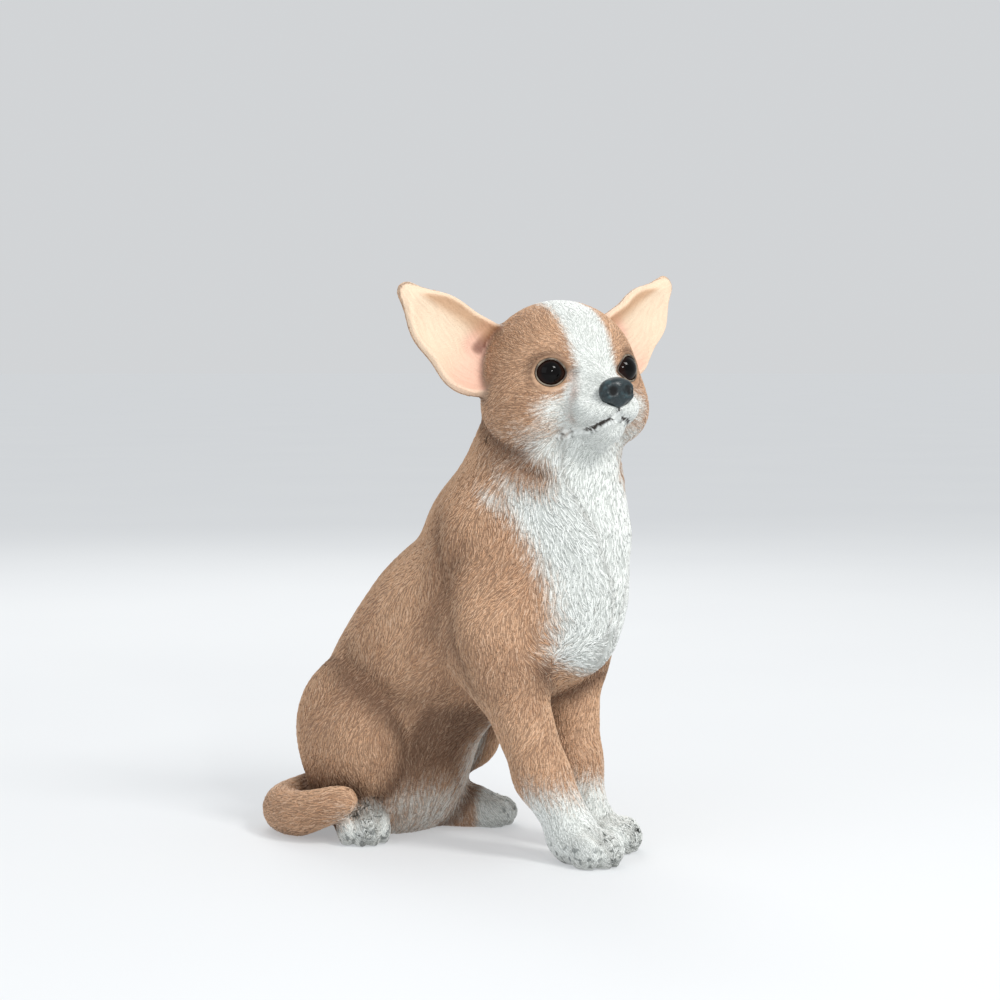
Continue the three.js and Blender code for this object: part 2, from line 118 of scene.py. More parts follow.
# %% [markdown]
# ## Clay as a field
# A field gives each point its distance to the surface, less than zero inside. Ellipsoids and limbs
# melt into each other when their distances are blended, as lumps of clay do under a thumb. The
# solids were made this way, so the same field tells the skin exactly where the surface lies, also
# between the corners of the coarse solids.

# %% Shapes of clay
def length(v):
    return np.sqrt((v * v).sum(axis=-1))


def blob(p, centre, radii, axes=STRAIGHT):
    """Distance to an ellipsoid."""
    q = (p - np.asarray(centre, float)) @ axes
    r = np.asarray(radii, float)
    near = length(q / r)
    return near * (near - 1) / np.maximum(length(q / (r * r)), 1e-6)


def limb(p, start, end, r1, r2):
    """Distance to the round hull of two balls."""
    start = np.asarray(start, float)
    along = np.asarray(end, float) - start
    reach = np.linalg.norm(along)
    slope = (r1 - r2) / reach
    cosine = math.sqrt(1 - slope * slope)
    d = p - start
    y = d @ (along / reach)
    x = np.sqrt(np.maximum((d * d).sum(-1) - y * y, 0))
    k = y - x * slope / cosine
    cone = x * cosine + y * slope - r1
    low = np.hypot(x, y) - r1
    high = np.hypot(x, y - reach) - r2
    return np.where(k < 0, low, np.where(k > reach, high, cone))


def leaf(p, start, end, r1, r2, facing, squash):
    """A limb pressed flat along one direction."""
    facing = np.asarray(facing, float)

    def pressed(v):
        return v + np.multiply.outer(v @ facing, facing) * (squash - 1)

    return limb(pressed(p), pressed(start), pressed(end), r1, r2) / squash * 1.4


def melt(a, b, k):
    """Blend of two distances over a width of k."""
    h = np.maximum(k - np.abs(a - b), 0) / k
    return np.minimum(a, b) - h * h * k * 0.25


def melted(k, parts):
    d = parts[0]
    for part in parts[1:]:
        d = melt(d, part, k)
    return d


def carved(k, body, tool):
    return -melt(-body, tool, k)


origin = np.zeros((1, 3))
print("the middle of a ball of 10 mm lies", -limb(origin, [0, 0, -1], [0, 0, 1], 10, 10)[0], "mm deep")

# %% [markdown]
# ## The lumps of the body
# The numbers that follow are the lumps of the statue, in millimetres. The solids were made with the
# same ones, but for a softer join where the forelegs meet the body, which the skin can show and the
# parted solids can't.

# %% Torso, neck and legs
FORELEGS = {
    "right": dict(side=-1, shoulder=[-28, 44, 104], elbow=[-29, 36, 88], wrist=[-20, 22, 40],
                  pastern=[-17, 10, 20], paw=[-17, 0, 0], heading=-4),
    "left": dict(side=1, shoulder=[26, 46, 104], elbow=[24, 38, 88], wrist=[15, 27, 42],
                 pastern=[14, 21, 22], paw=[15, 11, 0], heading=6),
}
HINDLEGS = {
    "right": dict(side=-1, knee=[-35, 120, 50], foot=[-37, 121, 0], heading=-38),
    "left": dict(side=1, knee=[37, 109, 51], foot=[30, 98, 0], heading=40),
}
FOREPAW = (40, 29, 20)
HINDPAW = (40, 27, 19)


def torso_clay(p):
    spine = melted(26, [
        blob(p, [0, 36, 130], [36, 42, 44]), blob(p, [0, 66, 118], [39, 50, 49]),
        blob(p, [0, 103, 95], [37, 43, 45]), blob(p, [0, 128, 58], [38, 42, 46]),
        blob(p, [0, 136, 24], [36, 38, 30])])
    keel = limb(p, [0, 6, 134], [0, 16, 106], 13, 16)
    throat = [limb(p, [side * 5, 15, 158], [side * 10.5, 21, 191], 20.8, 16.8) for side in (-1, 1)]
    withers = blob(p, [0, 74, 158], [20, 22, 18])
    sides = []
    for side in (-1, 1):
        sides.append(blob(p, [side * 25, 52, 130], [16, 26, 36]))
        sides.append(blob(p, [side * 29, 40, 104], [16, 22, 26]))
    return melted(14, [spine, keel, *throat, withers, *sides])


def neck_clay(p):
    return limb(p, [0, 50, 160], [0, 32, 208], 37, 31)


def foreleg_clay(p, leg):
    return melted(8, [
        limb(p, leg["shoulder"], leg["elbow"], 20, 16.5), limb(p, leg["elbow"], leg["wrist"], 16.5, 12.4),
        limb(p, leg["wrist"], leg["pastern"], 12.4, 11.6)])


def paw_clay(p, place, heading, size):
    """A pad and four toes, the middle two ahead of the others."""
    long, wide, tall = size
    axes = turned(0, 0, heading)

    def at(x, y, z):
        return np.array([place[0], place[1], 0.0]) + axes @ np.array([x, y, z])

    lumps = [blob(p, at(0, long * 0.05, tall * 0.46), [wide * 0.43, long * 0.42, tall * 0.56], axes)]
    for spot in (-1.5, -0.5, 0.5, 1.5):
        ahead = long * (0.33 - 0.06 * spot * spot)
        lumps.append(blob(p, at(spot * wide * 0.22, -ahead, tall * 0.37),
                          [wide * 0.165, long * 0.23, tall * 0.43], axes))
    return melted(2.5, lumps)


def hindleg_clay(p, leg):
    axes = turned(0, 0, leg["heading"])
    hock = np.array(leg["foot"]) + axes @ np.array([0, 26, 13])
    toe = np.array(leg["foot"]) + axes @ np.array([0, 1, 8.5])
    return melted(9, [
        blob(p, [leg["side"] * 30, 133, 53], [17, 33, 37]), blob(p, leg["knee"], [13, 20, 24]),
        limb(p, hock, toe, 11, 8.5)])


print("lumps for", len(FORELEGS), "forelegs and", len(HINDLEGS), "hind legs")

# %% Tail
TAIL = [[2, 158, 18], [-20, 172, 12.5], [-38, 169, 11.5], [-50, 152, 12], [-54, 134, 17], [-52, 120, 22]]
TAIL_RADII = [13, 12, 11.4, 10.6, 9, 7.5]
TAIL_STEPS = 3
TAIL_BLEND = 3


def smooth_line(points, steps):
    """A soft curve through the points, with so many lengths between each two."""
    points = np.asarray(points, float)
    ends = np.vstack([2 * points[0] - points[1], points, 2 * points[-1] - points[-2]])
    line = []
    for a, b, c, d in zip(ends, ends[1:], ends[2:], ends[3:]):
        for t in np.arange(steps) / steps:
            line.append(0.5 * (2 * b + (c - a) * t + (2 * a - 5 * b + 4 * c - d) * t**2
                               + (3 * b - a - 3 * c + d) * t**3))
    line.append(points[-1])
    return np.array(line)


TAIL_LINE = smooth_line([place + [r] for place, r in zip(TAIL, TAIL_RADII)], TAIL_STEPS)


def tail_clay(p):
    lengths = [limb(p, a[:3], b[:3], a[3], b[3]) for a, b in zip(TAIL_LINE, TAIL_LINE[1:])]
    return melted(TAIL_BLEND, lengths)


print("corners along the tail:", len(TAIL_LINE))


# %% Head
def head_clay(p):
    skull = melted(16, [
        blob(p, head_point(0, 4, -2), [38.5, 35, 36], HEAD_AXES),
        *[blob(p, head_point(side * 24, -1, -22), [16.5, 23, 16], HEAD_AXES) for side in (-1, 1)]])
    muzzle = melted(8, [
        limb(p, head_point(0, -22, -15), head_point(-1, -38.5, -16), 16, 11),
        *[blob(p, head_point(side * 7.5 - 1, -36, -20.5), [9, 12, 8.5], HEAD_AXES) for side in (-1, 1)],
        limb(p, head_point(0, -16, -27), head_point(-1, -35.5, -30.3), 13, 7.6)])
    lids = [blob(p, eye_centre(side), [9.7, 9.7, 9.3], HEAD_AXES) for side in (-1, 1)]
    return melted(4, [melt(skull, muzzle, 9), *lids])


# %% Ears
EARS = {
    "ear_right": dict(side=-1, root=[-42, 12, 9.5], middle=[-55.5, 18, 25.5], tip=[-69, 24, 42],
                      radii=[20.3, 14.2, 5.5]),
    "ear_left": dict(side=1, root=[42.5, 11, 11.5], middle=[60, 15.5, 26], tip=[76, 20, 40.5],
                     radii=[18, 12.6, 5.5]),
}
EAR_WALL = 2.0
EAR_DEPTH = 6.5
EAR_SQUASH = 2.1
for ear in EARS.values():
    facing = head_direction(ear["side"] * 0.25, -0.93, 0.2)
    ear["facing"] = facing / np.linalg.norm(facing)
    ear["line"] = [head_point(*ear[key]) for key in ("root", "middle", "tip")]


def ear_leaf(p, ear, forward, wall):
    """The ear's leaf, moved forward and drawn in for its hollow."""
    facing = ear["facing"]
    a, b, c = (place + facing * forward for place in ear["line"])
    r = ear["radii"]
    return melted(5, [leaf(p, a, b, r[0] - wall, r[1] - wall, facing, EAR_SQUASH),
                      leaf(p, b, c, r[1] - wall, r[2] - wall * 0.6, facing, EAR_SQUASH)])


def ear_clay(p, ear):
    return carved(1.5, ear_leaf(p, ear, 0, 0), ear_leaf(p, ear, EAR_DEPTH, EAR_WALL))


for name, ear in EARS.items():
    print(name, "runs", np.round(length(ear["line"][2] - ear["line"][0]), 1), "mm from root to tip")

# %% [markdown]
# ## The face
# The openings of the eyes are cut as almonds round the line of sight, a little drawn out at the
# inner corner. The nose leather sits in a hollow of its own, with two nostrils pressed into it.

# %% Eyes
GAZE = {}
OUTWARD = {}
UPWARD = {}
for side in (-1, 1):
    gaze = head_direction(side * 0.36, -0.93, 0.05)
    GAZE[side] = gaze / np.linalg.norm(gaze)
    outward = head_direction(side, 0, 0)
    outward = outward - GAZE[side] * (outward @ GAZE[side])
    OUTWARD[side] = outward / np.linalg.norm(outward)
    UPWARD[side] = np.cross(OUTWARD[side], GAZE[side]) * side * -1
    UPWARD[side] *= np.sign(UPWARD[side][2])
LID_WIDE = math.radians(54)
LID_TALL = math.radians(46)
CORNER_DROP = math.radians(5)


def almond(side, round_angle):
    """Angles across and up from the line of sight to the edge of the lids."""
    across = LID_WIDE * np.cos(round_angle)
    inner = np.clip(-np.cos(round_angle), 0, 1) ** 3
    up = LID_TALL * np.sin(round_angle) * (1 - 0.3 * inner) - CORNER_DROP * inner
    return across * (1 + 0.1 * inner), up


def eye_opening(p, side):
    """Rough distance to the cone that the lids leave open."""
    q = p - eye_centre(side)
    ahead = q @ GAZE[side]
    across = q @ OUTWARD[side]
    up = q @ UPWARD[side]
    spread = np.maximum(np.hypot(across, up), 1e-6)
    angle = np.arctan2(spread, ahead)
    inner = np.clip(-across / spread, 0, 1) ** 3
    up_angle = angle * up / spread + CORNER_DROP * inner
    ratio = np.hypot(angle * across / spread / (LID_WIDE * (1 + 0.1 * inner)),
                     up_angle / (LID_TALL * (1 - 0.3 * inner)))
    return (ratio - 1) * 7.5


print("the lids open", round(2 * EYE_RADIUS * math.sin(LID_WIDE), 1), "mm wide and",
      round(2 * EYE_RADIUS * math.sin(LID_TALL), 1), "mm tall")

# %% Lines of the furrows
MIDDLE = -1.0
MOUTH = [[-18.5, -24, -31.8], [-15, -27.6, -31.8], [-12.2, -35, -30.9], [-10, -42, -28.9],
         [-7, -45.8, -27], [-3.6, -47.3, -26.2], [MIDDLE, -47.8, -25.6]]
MOUTH = MOUTH + [[2 * MIDDLE - x, y, z] for x, y, z in reversed(MOUTH[:-1])]
PHILTRUM = [[-1.4, -49.8, -18.5], [-1.3, -49.2, -21.5], [MIDDLE, -47.8, -25.6]]
RUFF = [[-38.5, 17, -24], [-39.5, 9, -32], [-37.7, 1, -37.5], [-35, -4, -41.5], [-30, -10, -46.5],
        [-25, -15, -50]]


def drawn_on(clay, p):
    """Points moved on to the surface of a clay shape."""
    for _ in range(6):
        g = np.stack([(clay(p + e) - clay(p - e)) / 0.2 for e in np.eye(3) * 0.1], -1)
        p = p - g * (clay(p) / np.maximum((g * g).sum(-1), 0.25))[:, None]
    return p


def head_line(points, side=1):
    return np.array([head_point(side * x, y, z) for x, y, z in points])


FLANK = [[35.5, 136, 96], [37, 115, 82], [37, 97.5, 71], [31, 76, 71]]
SHOULDER = [[36, 74, 160], [44, 66, 140], [46, 60, 118], [45, 52, 98], [40, 44, 84]]


def toe_gaps(place, heading, size):
    """The three furrows between the toes of one paw."""
    long, wide, tall = size
    axes = turned(0, 0, heading)
    gaps = []
    for spot in (-1, 0, 1):
        line = [[spot * wide * 0.22, -long * ahead, tall * high] for ahead, high in
                [(0.52, 0.1), (0.54, 0.4), (0.46, 0.68), (0.3, 0.85), (0.14, 0.95)]]
        gaps.append(np.array([place[0], place[1], 0.0]) + np.array(line) @ axes.T)
    return gaps


def furrow(d, distance, depth, wide):
    """A soft furrow, deepest where the distance is nil."""
    return d + depth * np.exp(-(distance / wide) ** 2)


def line_distance(p, line):
    best = np.full(len(p), 1e9)
    for a, b in zip(line, line[1:]):
        along = b - a
        t = np.clip((p - a) @ along / (along @ along), 0, 1)
        best = np.minimum(best, length(p - a - t[:, None] * along))
    return best


print("points along the mouth:", len(MOUTH))

# %% Nose and openings of the face
NOSE_AT = np.array([-1.4, -48.2, -13.2])
NOSE_SOCKET = [8.0, 5.6, 6.8]
NOSTRIL_DEPTH = 2.6
NOSTRIL_WIDE = 2.4
SLIT_DEPTH = 1.4
NOSTRILS = [NOSE_AT + [side * 4.3 - 0.4, -5.0, 0.5] for side in (-1, 1)]


def nose_clay(p):
    """The leather: a wide top, two wings, nostrils with a slit to the side, and a groove between."""
    def at(x, y, z):
        return head_point(*(NOSE_AT + [x, y, z]))

    leather = melted(2.5, [
        blob(p, at(0, 0.4, 1.8), [8.0, 5.8, 5.0], HEAD_AXES),
        *[blob(p, at(side * 4.4, 0, -0.8), [4.1, 5.3, 4.6], HEAD_AXES) for side in (-1, 1)],
        blob(p, at(0, 0, -3.6), [4.0, 4.6, 4.0], HEAD_AXES)])
    for side, hole in zip((-1, 1), NOSTRILS):
        leather = furrow(leather, length(p - head_point(*hole)), NOSTRIL_DEPTH, NOSTRIL_WIDE)
        slit = head_line([hole, NOSE_AT + [side * 8.6, -1.0, -0.6]])
        leather = furrow(leather, line_distance(p, slit), SLIT_DEPTH, 1.2)
    middle_groove = head_line([NOSE_AT + [0, -5.6, 0], NOSE_AT + [0, -4.4, -8]])
    return furrow(leather, line_distance(p, middle_groove), 1.3, 1.2)


def face_cut(p, d):
    """The head's surface with its openings."""
    near = length(p - head_point(0, -30, -12)) < 48
    q = p[near]
    e = d[near]
    for side in (-1, 1):
        e = carved(0.5, e, length(q - eye_centre(side)) - EYE_RADIUS - 0.1)
        e = carved(0.9, e, eye_opening(q, side))
    e = carved(0.6, e, blob(q, head_point(*NOSE_AT), NOSE_SOCKET, HEAD_AXES))
    out = d.copy()
    out[near] = e
    return out


print("nostrils, in the head's axes:", np.round(NOSTRILS, 1).tolist())

# %% [markdown]
# ## The whole dog
# All lumps are blended into one field, each with its own softness. Then the furrows are pressed in:
# the mouth, the ruff under each cheek, the creases of shoulder and flank, and the gaps between the
# toes. A furrow is a line whose points are first drawn on to the clay, so that it never floats.

# %% The clay, with the distance to each of its parts
NECK_BLEND = 22
SHOULDER_BLEND = 11
LEG_BLEND = 8
HEAD_BLEND = 4


def part_fields(p):
    fields = {"torso": torso_clay(p), "neck": neck_clay(p), "head": head_clay(p), "tail": tail_clay(p)}
    for name, leg in FORELEGS.items():
        fields["foreleg_" + name] = foreleg_clay(p, leg)
        fields["forepaw_" + name] = paw_clay(p, leg["paw"], leg["heading"], FOREPAW)
    for name, leg in HINDLEGS.items():
        fields["hindleg_" + name] = hindleg_clay(p, leg)
        fields["hindpaw_" + name] = paw_clay(p, leg["foot"], leg["heading"], HINDPAW)
    for name, ear in EARS.items():
        fields[name] = ear_clay(p, ear)
    return fields


def whole_clay(p, fields=None):
    fields = fields or part_fields(p)
    d = melt(fields["torso"], fields["neck"], NECK_BLEND)
    for name in fields:
        if name.startswith(("fore", "hind")):
            d = melt(d, fields[name], SHOULDER_BLEND if name.startswith("foreleg") else LEG_BLEND)
    for name in ("head", "ear_left", "ear_right"):
        d = melt(d, fields[name], HEAD_BLEND)
    return melt(d, fields["tail"], TAIL_BLEND)


print("parts of the clay:", len(part_fields(origin)))

# %% Furrows of the face, the flanks and the toes
MOUTH_LINE = drawn_on(whole_clay, head_line(MOUTH))
PHILTRUM_LINE = drawn_on(whole_clay, head_line(PHILTRUM))
RUFF_LINES = [drawn_on(whole_clay, head_line(RUFF, side)) for side in (-1, 1)]
FLANK_LINES = [drawn_on(whole_clay, np.array(FLANK) * [side, 1, 1]) for side in (-1, 1)]
SHOULDER_LINES = [drawn_on(whole_clay, np.array(SHOULDER) * [side, 1, 1]) for side in (-1, 1)]
TOE_GAPS = []
for leg in FORELEGS.values():
    TOE_GAPS += [drawn_on(whole_clay, line) for line in toe_gaps(leg["paw"], leg["heading"], FOREPAW)]
for leg in HINDLEGS.values():
    TOE_GAPS += [drawn_on(whole_clay, line) for line in toe_gaps(leg["foot"], leg["heading"], HINDPAW)]
# each furrow is a line, how hard it is pressed and its width, in millimetres
FURROWS = [(line, 2.4, 1.9) for line in TOE_GAPS]
FURROWS += [(line, 3.2, 3.4) for line in RUFF_LINES]
FURROWS += [(line, 2.2, 4.5) for line in FLANK_LINES]
FURROWS += [(line, 1.6, 6.0) for line in SHOULDER_LINES]
FURROWS += [(MOUTH_LINE, 1.5, 1.6), (PHILTRUM_LINE, 1.0, 1.2)]


def furrowed(p, d):
    """The clay with its furrows pressed in."""
    out = d.copy()
    for line, depth, wide in FURROWS:
        near = length(p - line.mean(axis=0)) < length(line - line.mean(axis=0)).max() + 2.5 * wide
        out[near] = furrow(out[near], line_distance(p[near], line), depth, wide)
    return out


def dog(p, fields=None):
    return np.maximum(face_cut(p, furrowed(p, whole_clay(p, fields))), -p[:, 2])


def slope(p, step=0.15):
    """Gradient of the field."""
    out = np.empty_like(p)
    for axis in range(3):
        shift = np.zeros(3)
        shift[axis] = step
        out[:, axis] = (dog(p + shift) - dog(p - shift)) / (2 * step)
    return out


def settled(p, depth, turns=3):
    """Points drawn on to the surface that lies a little under the clay's."""
    for _ in range(turns):
        g = slope(p)
        p = p - g * ((dog(p) + depth) / np.maximum((g * g).sum(-1), 0.25))[:, None]
    return p


print("furrows:", len(FURROWS))

# %% [markdown]
# ## One skin
# The solids are parted by thin cuts, so that each part has a name. The real casting has no seams.
# Blender's voxel remesh turns overlapping meshes into one closed skin: each solid is first grown
# by a hair so that it overlaps its neighbour, and the new skin is then drawn on to the field.

# %% Growing the solids and remeshing them together
GROW = 0.35
VOXEL = 1.3
SKIN_DEPTH = 0.35
FLESH = [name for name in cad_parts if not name.startswith(("eye_", "nose"))]


def new_object(name, mesh):
    made = bpy.data.objects.new(name, mesh)
    bpy.context.scene.collection.objects.link(made)
    return made


def lump_of(nodes):
    gathered = bmesh.new()
    for name in nodes:
        one = bmesh.new()
        one.from_mesh(bpy.data.objects[name].data)
        one.normal_update()
        normals = [v.normal.copy() for v in one.verts]
        for vert, normal in zip(one.verts, normals):
            vert.co += normal * GROW * MM
        copy = bpy.data.meshes.new("grown")
        one.to_mesh(copy)
        one.free()
        gathered.from_mesh(copy)
        bpy.data.meshes.remove(copy)
    mesh = bpy.data.meshes.new("skin")
    gathered.to_mesh(mesh)
    gathered.free()
    return new_object("skin", mesh)


skin = lump_of(FLESH)
remesh = skin.modifiers.new("one_skin", "REMESH")
remesh.mode = "VOXEL"
remesh.voxel_size = VOXEL * MM
bpy.context.view_layer.update()
done = bpy.data.meshes.new_from_object(skin.evaluated_get(bpy.context.evaluated_depsgraph_get()))
skin.modifiers.clear()
skin.data = done
print("skin faces:", len(done.polygons))


# %% Drawing the skin on to the field
def points_of(mesh):
    flat = np.empty(len(mesh.vertices) * 3)
    mesh.vertices.foreach_get("co", flat)
    return flat.reshape(-1, 3)


def set_points(mesh, points):
    mesh.vertices.foreach_set("co", np.ascontiguousarray(points, dtype=np.float32).ravel())
    mesh.update()


skin_points = settled(to_dog(points_of(skin.data)), SKIN_DEPTH)
skin_points[:, 2] = np.maximum(skin_points[:, 2], 0.0)
set_points(skin.data, to_world(skin_points))
skin.data.shade_smooth()
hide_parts(*FLESH)
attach(skin, "root")
print("skin height in mm:", round(float(skin_points[:, 2].max()), 1))


# %% [markdown]
# ## A finer face
# The face and the paws carry the finest shapes, so their faces are cut in four once more, and the
# new points are drawn on to the field as well. A finer voxel everywhere would only cost time.

# %% A finer mesh on the face and the paws
FINE_SPOTS = [(head_point(0, -30, -10), 36.0)]
for leg in FORELEGS.values():
    FINE_SPOTS.append((np.array([leg["paw"][0], leg["paw"][1] - 6.0, 8.0]), 24.0))
for leg in HINDLEGS.values():
    FINE_SPOTS.append((np.array([leg["foot"][0], leg["foot"][1] - 4.0, 8.0]), 24.0))


def in_fine_spot(p):
    return np.any([length(p - place) < reach for place, reach in FINE_SPOTS], axis=0)


def refine(mesh):
    bm = bmesh.new()
    bm.from_mesh(mesh)
    p = to_dog(np.array([v.co for v in bm.verts]))
    inside = in_fine_spot(p)
    bm.verts.ensure_lookup_table()
    edges = [e for e in bm.edges if inside[e.verts[0].index] and inside[e.verts[1].index]]
    bmesh.ops.subdivide_edges(bm, edges=edges, cuts=1, use_grid_fill=True)
    bm.to_mesh(mesh)
    bm.free()


refine(skin.data)
p = to_dog(points_of(skin.data))
fine = in_fine_spot(p)
p[fine] = settled(p[fine], SKIN_DEPTH, 3)
p[:, 2] = np.maximum(p[:, 2], 0.0)
set_points(skin.data, to_world(p))
skin.data.shade_smooth()
skin.data.calc_loop_triangles()
print("skin triangles:", len(skin.data.loop_triangles))

# %% [markdown]
# ## Where each colour lies
# The markings are soft-edged areas in the dog's own axes: a white blaze from the crown down to the
# muzzle, a white throat and chest, white feet, and a pink and cream inside to the ears. Each one is
# a number between 0 and 1 at every point of the skin, and the strokes take theirs from the skin
# that they grow on. Painted shade in the creases, under the jaw and belly, round the eyes and
# inside the ears is laid out in the same way. The material mixes its paints by these numbers.

# %% Soft steps and nearness to each part
def step_up(x, low, high):
    t = np.clip((x - low) / (high - low), 0, 1)
    return t * t * (3 - 2 * t)


def unit(v):
    return v / np.maximum(length(v), 1e-9)[..., None]


p = to_dog(points_of(skin.data))
h = to_head(p)
normal = unit(slope(p))
fields = part_fields(p)
names = list(fields)
stack = np.array([fields[name] for name in names])
nearest = np.exp(-(stack - stack.min(axis=0)) / 4.0)
nearest /= nearest.sum(axis=0)
share = dict(zip(names, nearest))
print("points on the head:", int((share["head"] > 0.5).sum()))

# %% White on the head
angle_up = np.degrees(np.arctan2(h[:, 2] + 2, -(h[:, 1] - 4)))
blaze_wide = np.interp(angle_up, [-20, 5, 30, 60, 85, 105, 125], [15, 10.5, 11.2, 11.5, 9, 6, 0])
blaze = step_up(blaze_wide - np.abs(h[:, 0] + 0.5), -5, 5) * step_up(-h[:, 1], -22, -6)
muzzle = step_up(-h[:, 1], 26, 32) * step_up(-h[:, 2], -4, 6)
under_eye = step_up(-h[:, 2], 7, 18) * step_up(-h[:, 1], 17, 29)
jowl = step_up(-h[:, 2], 18, 42) * (0.3 + 0.6 * step_up(-h[:, 1], 4, 20))
head_white = np.max([blaze, muzzle, jowl, under_eye * 0.8], axis=0)
print("white points on the head:", int((share["head"] * head_white > 0.5).sum()))

# %% White on the chest, the legs and the belly
edge_at = np.interp(p[:, 2], [85, 100, 107, 120, 131, 141, 152, 164, 173, 183, 200],
                    [6, 12, 10, 8.8, 9.7, 13, 17.5, 25, 33, 39, 44])
chest = step_up(edge_at - p[:, 1], -13, 10) * step_up(p[:, 2], 70, 92)
chest *= 1 - 0.5 * step_up(p[:, 2], 165, 188) * step_up(p[:, 1], 4, 26)
pale_band = np.exp(-((p[:, 2] - 172 - (p[:, 1] - 36) * 0.5) / 6) ** 2) * step_up(p[:, 1], 20, 34)
pale_band *= step_up(58 - p[:, 1], 0, 18) * 0.55
shank = step_up(-p[:, 2], -52, -16)
heel = np.zeros(len(p))


def ahead_of(leg, rise):
    """The way that a paw points."""
    return np.array([math.sin(math.radians(leg["heading"])), -math.cos(math.radians(leg["heading"])), rise])


for name, leg in FORELEGS.items():
    share_of_leg = share["foreleg_" + name] + share["forepaw_" + name]
    rear = step_up(p[:, 1] - leg["wrist"][1], 0, 7)
    heel = np.maximum(heel, share_of_leg * rear * step_up(60 - p[:, 2], 0, 25))
fore_white = (share["foreleg_right"] + share["foreleg_left"]) * shank * (1 - 0.55 * heel)
fore_white += share["forepaw_right"] + share["forepaw_left"]
hind_white = np.zeros(len(p))
for name, leg in HINDLEGS.items():
    along = (p - np.array(leg["foot"])) @ ahead_of(leg, 0)
    reach = share["hindpaw_" + name] + 0.8 * share["hindleg_" + name]
    hind_white = np.maximum(hind_white, reach * step_up(along, -7, 3) * step_up(26 - p[:, 2], 0, 6))
under = step_up(35 - np.abs(p[:, 0]), 0, 8) * step_up(p[:, 1], 46, 66) * step_up(78 - p[:, 2], 0, 12)
under *= step_up(150 - p[:, 1], 0, 16) * (share["torso"] + share["hindleg_left"] + share["hindleg_right"])
inside_leg = under * np.maximum(step_up(p[:, 0], -10, 12), step_up(-p[:, 2], -44, -16))
trunk = share["torso"] + share["neck"]
white = trunk * np.maximum(chest, pale_band) + share["head"] * head_white + fore_white
white = np.clip(np.max([white, hind_white, inside_leg * 0.55], axis=0), 0, 1)
print("white points on the whole dog:", int((white > 0.5).sum()))


# %% Dark wash and painted shade in the creases, under the jaw and belly, round the eyes and by the floor
def near_line(line, wide):
    """1 on a line, falling off softly within so many millimetres."""
    return np.exp(-(line_distance(p, line) / wide) ** 2)


def crease(one, other, wide):
    """1 along the valley where two parts meet, falling off within so many millimetres."""
    gap = np.abs(fields[one] - fields[other])
    low = np.minimum(fields[one], fields[other])
    return np.exp(-(gap / wide) ** 2) * np.exp(-np.maximum(np.abs(low) - 3.5, 0) / 3)


# Painted shade under the jaw: the crease of head and neck and the ruff furrows under each cheek are
# darkened, and the white is taken back there
ruff = crease("head", "neck", 3.6) * step_up(h[:, 1] + 24, 0, 14) * 0.9
for line in RUFF_LINES:
    ruff = np.maximum(ruff, near_line(line, 3.4))
    ruff = np.maximum(ruff, near_line(line, 8.0) * 0.45)
    white *= 1 - 0.6 * near_line(line, 9)
# Painted shade in the creases where the hind legs and the forelegs meet the body
flank = np.maximum(crease("torso", "hindleg_right", 5), crease("torso", "hindleg_left", 5))
armpit_shade = np.maximum(crease("torso", "foreleg_right", 5), crease("torso", "foreleg_left", 5))
armpit_shade *= step_up(104 - p[:, 2], 0, 10) * (1 - 0.8 * step_up(np.abs(p[:, 0]), 28, 40))
# Painted shade in a soft stripe behind each shoulder
shoulder = np.exp(-((p[:, 1] - 62 + (p[:, 2] - 130) * 0.35) / 9) ** 2) * step_up(p[:, 2], 95, 112)
shoulder *= step_up(162 - p[:, 2], 0, 20) * trunk * 0.6
crest_at = np.interp(p[:, 2], [118, 131, 186], [3.0, 5.0, 25.0])
crest = np.exp(-((np.abs(p[:, 0]) - crest_at) / 1.6) ** 2) * step_up(22 - p[:, 1], 0, 8) * trunk * 0.4
ear_root = np.zeros(len(p))
for name in ("ear_left", "ear_right"):
    ear_root = np.maximum(ear_root, crease("head", name, 2.6))
mouth = step_up(2.05 - line_distance(p, MOUTH_LINE), 0, 1.0)
mouth = np.maximum(mouth, step_up(1.8 - line_distance(p, PHILTRUM_LINE), 0, 1.0) * 0.8)
# Painted shade in a ring round each eye, strongest under the brow above it, and a dark spot at the inner
# corner of the eye
eye_shade_and_corner = np.zeros(len(p))
for side in (-1, 1):
    above = step_up((p - eye_centre(side)) @ UPWARD[side], -1, 5)
    near_eye = np.exp(-((length(p - eye_centre(side)) - 10.2) / 1.5) ** 2)
    eye_shade_and_corner = np.maximum(eye_shade_and_corner, near_eye * (0.35 + 0.45 * above))
    corner = head_point(side * 12.4, -30.6, -2.6)
    eye_shade_and_corner = np.maximum(eye_shade_and_corner, np.exp(-(length(p - corner) / 2.2) ** 2))
# Painted shade towards the floor, over the lowest 9 mm
floor_shade = step_up(9 - p[:, 2], 0, 9) * 0.45
tail_gap = np.maximum(crease("tail", "hindleg_right", 4), crease("tail", "torso", 4))
# Painted shade under the belly, weaker on the inside of the legs
belly = under * (0.95 - 0.75 * inside_leg)
toes = np.zeros(len(p))
for line in TOE_GAPS:
    toes = np.maximum(toes, near_line(line, 1.8) * 0.8)
# Painted shade in wide soft bands along the creases of the flanks and the shoulders
halo_shade = np.zeros(len(p))
for line in [*FLANK_LINES, *SHOULDER_LINES]:
    halo_shade = np.max([halo_shade, near_line(line, 13) * 0.42, near_line(line, 4) * 0.8], axis=0)
back_edge = np.exp(-((p[:, 0]) / 16) ** 2) * step_up(p[:, 1], 50, 80) * trunk * 0.35
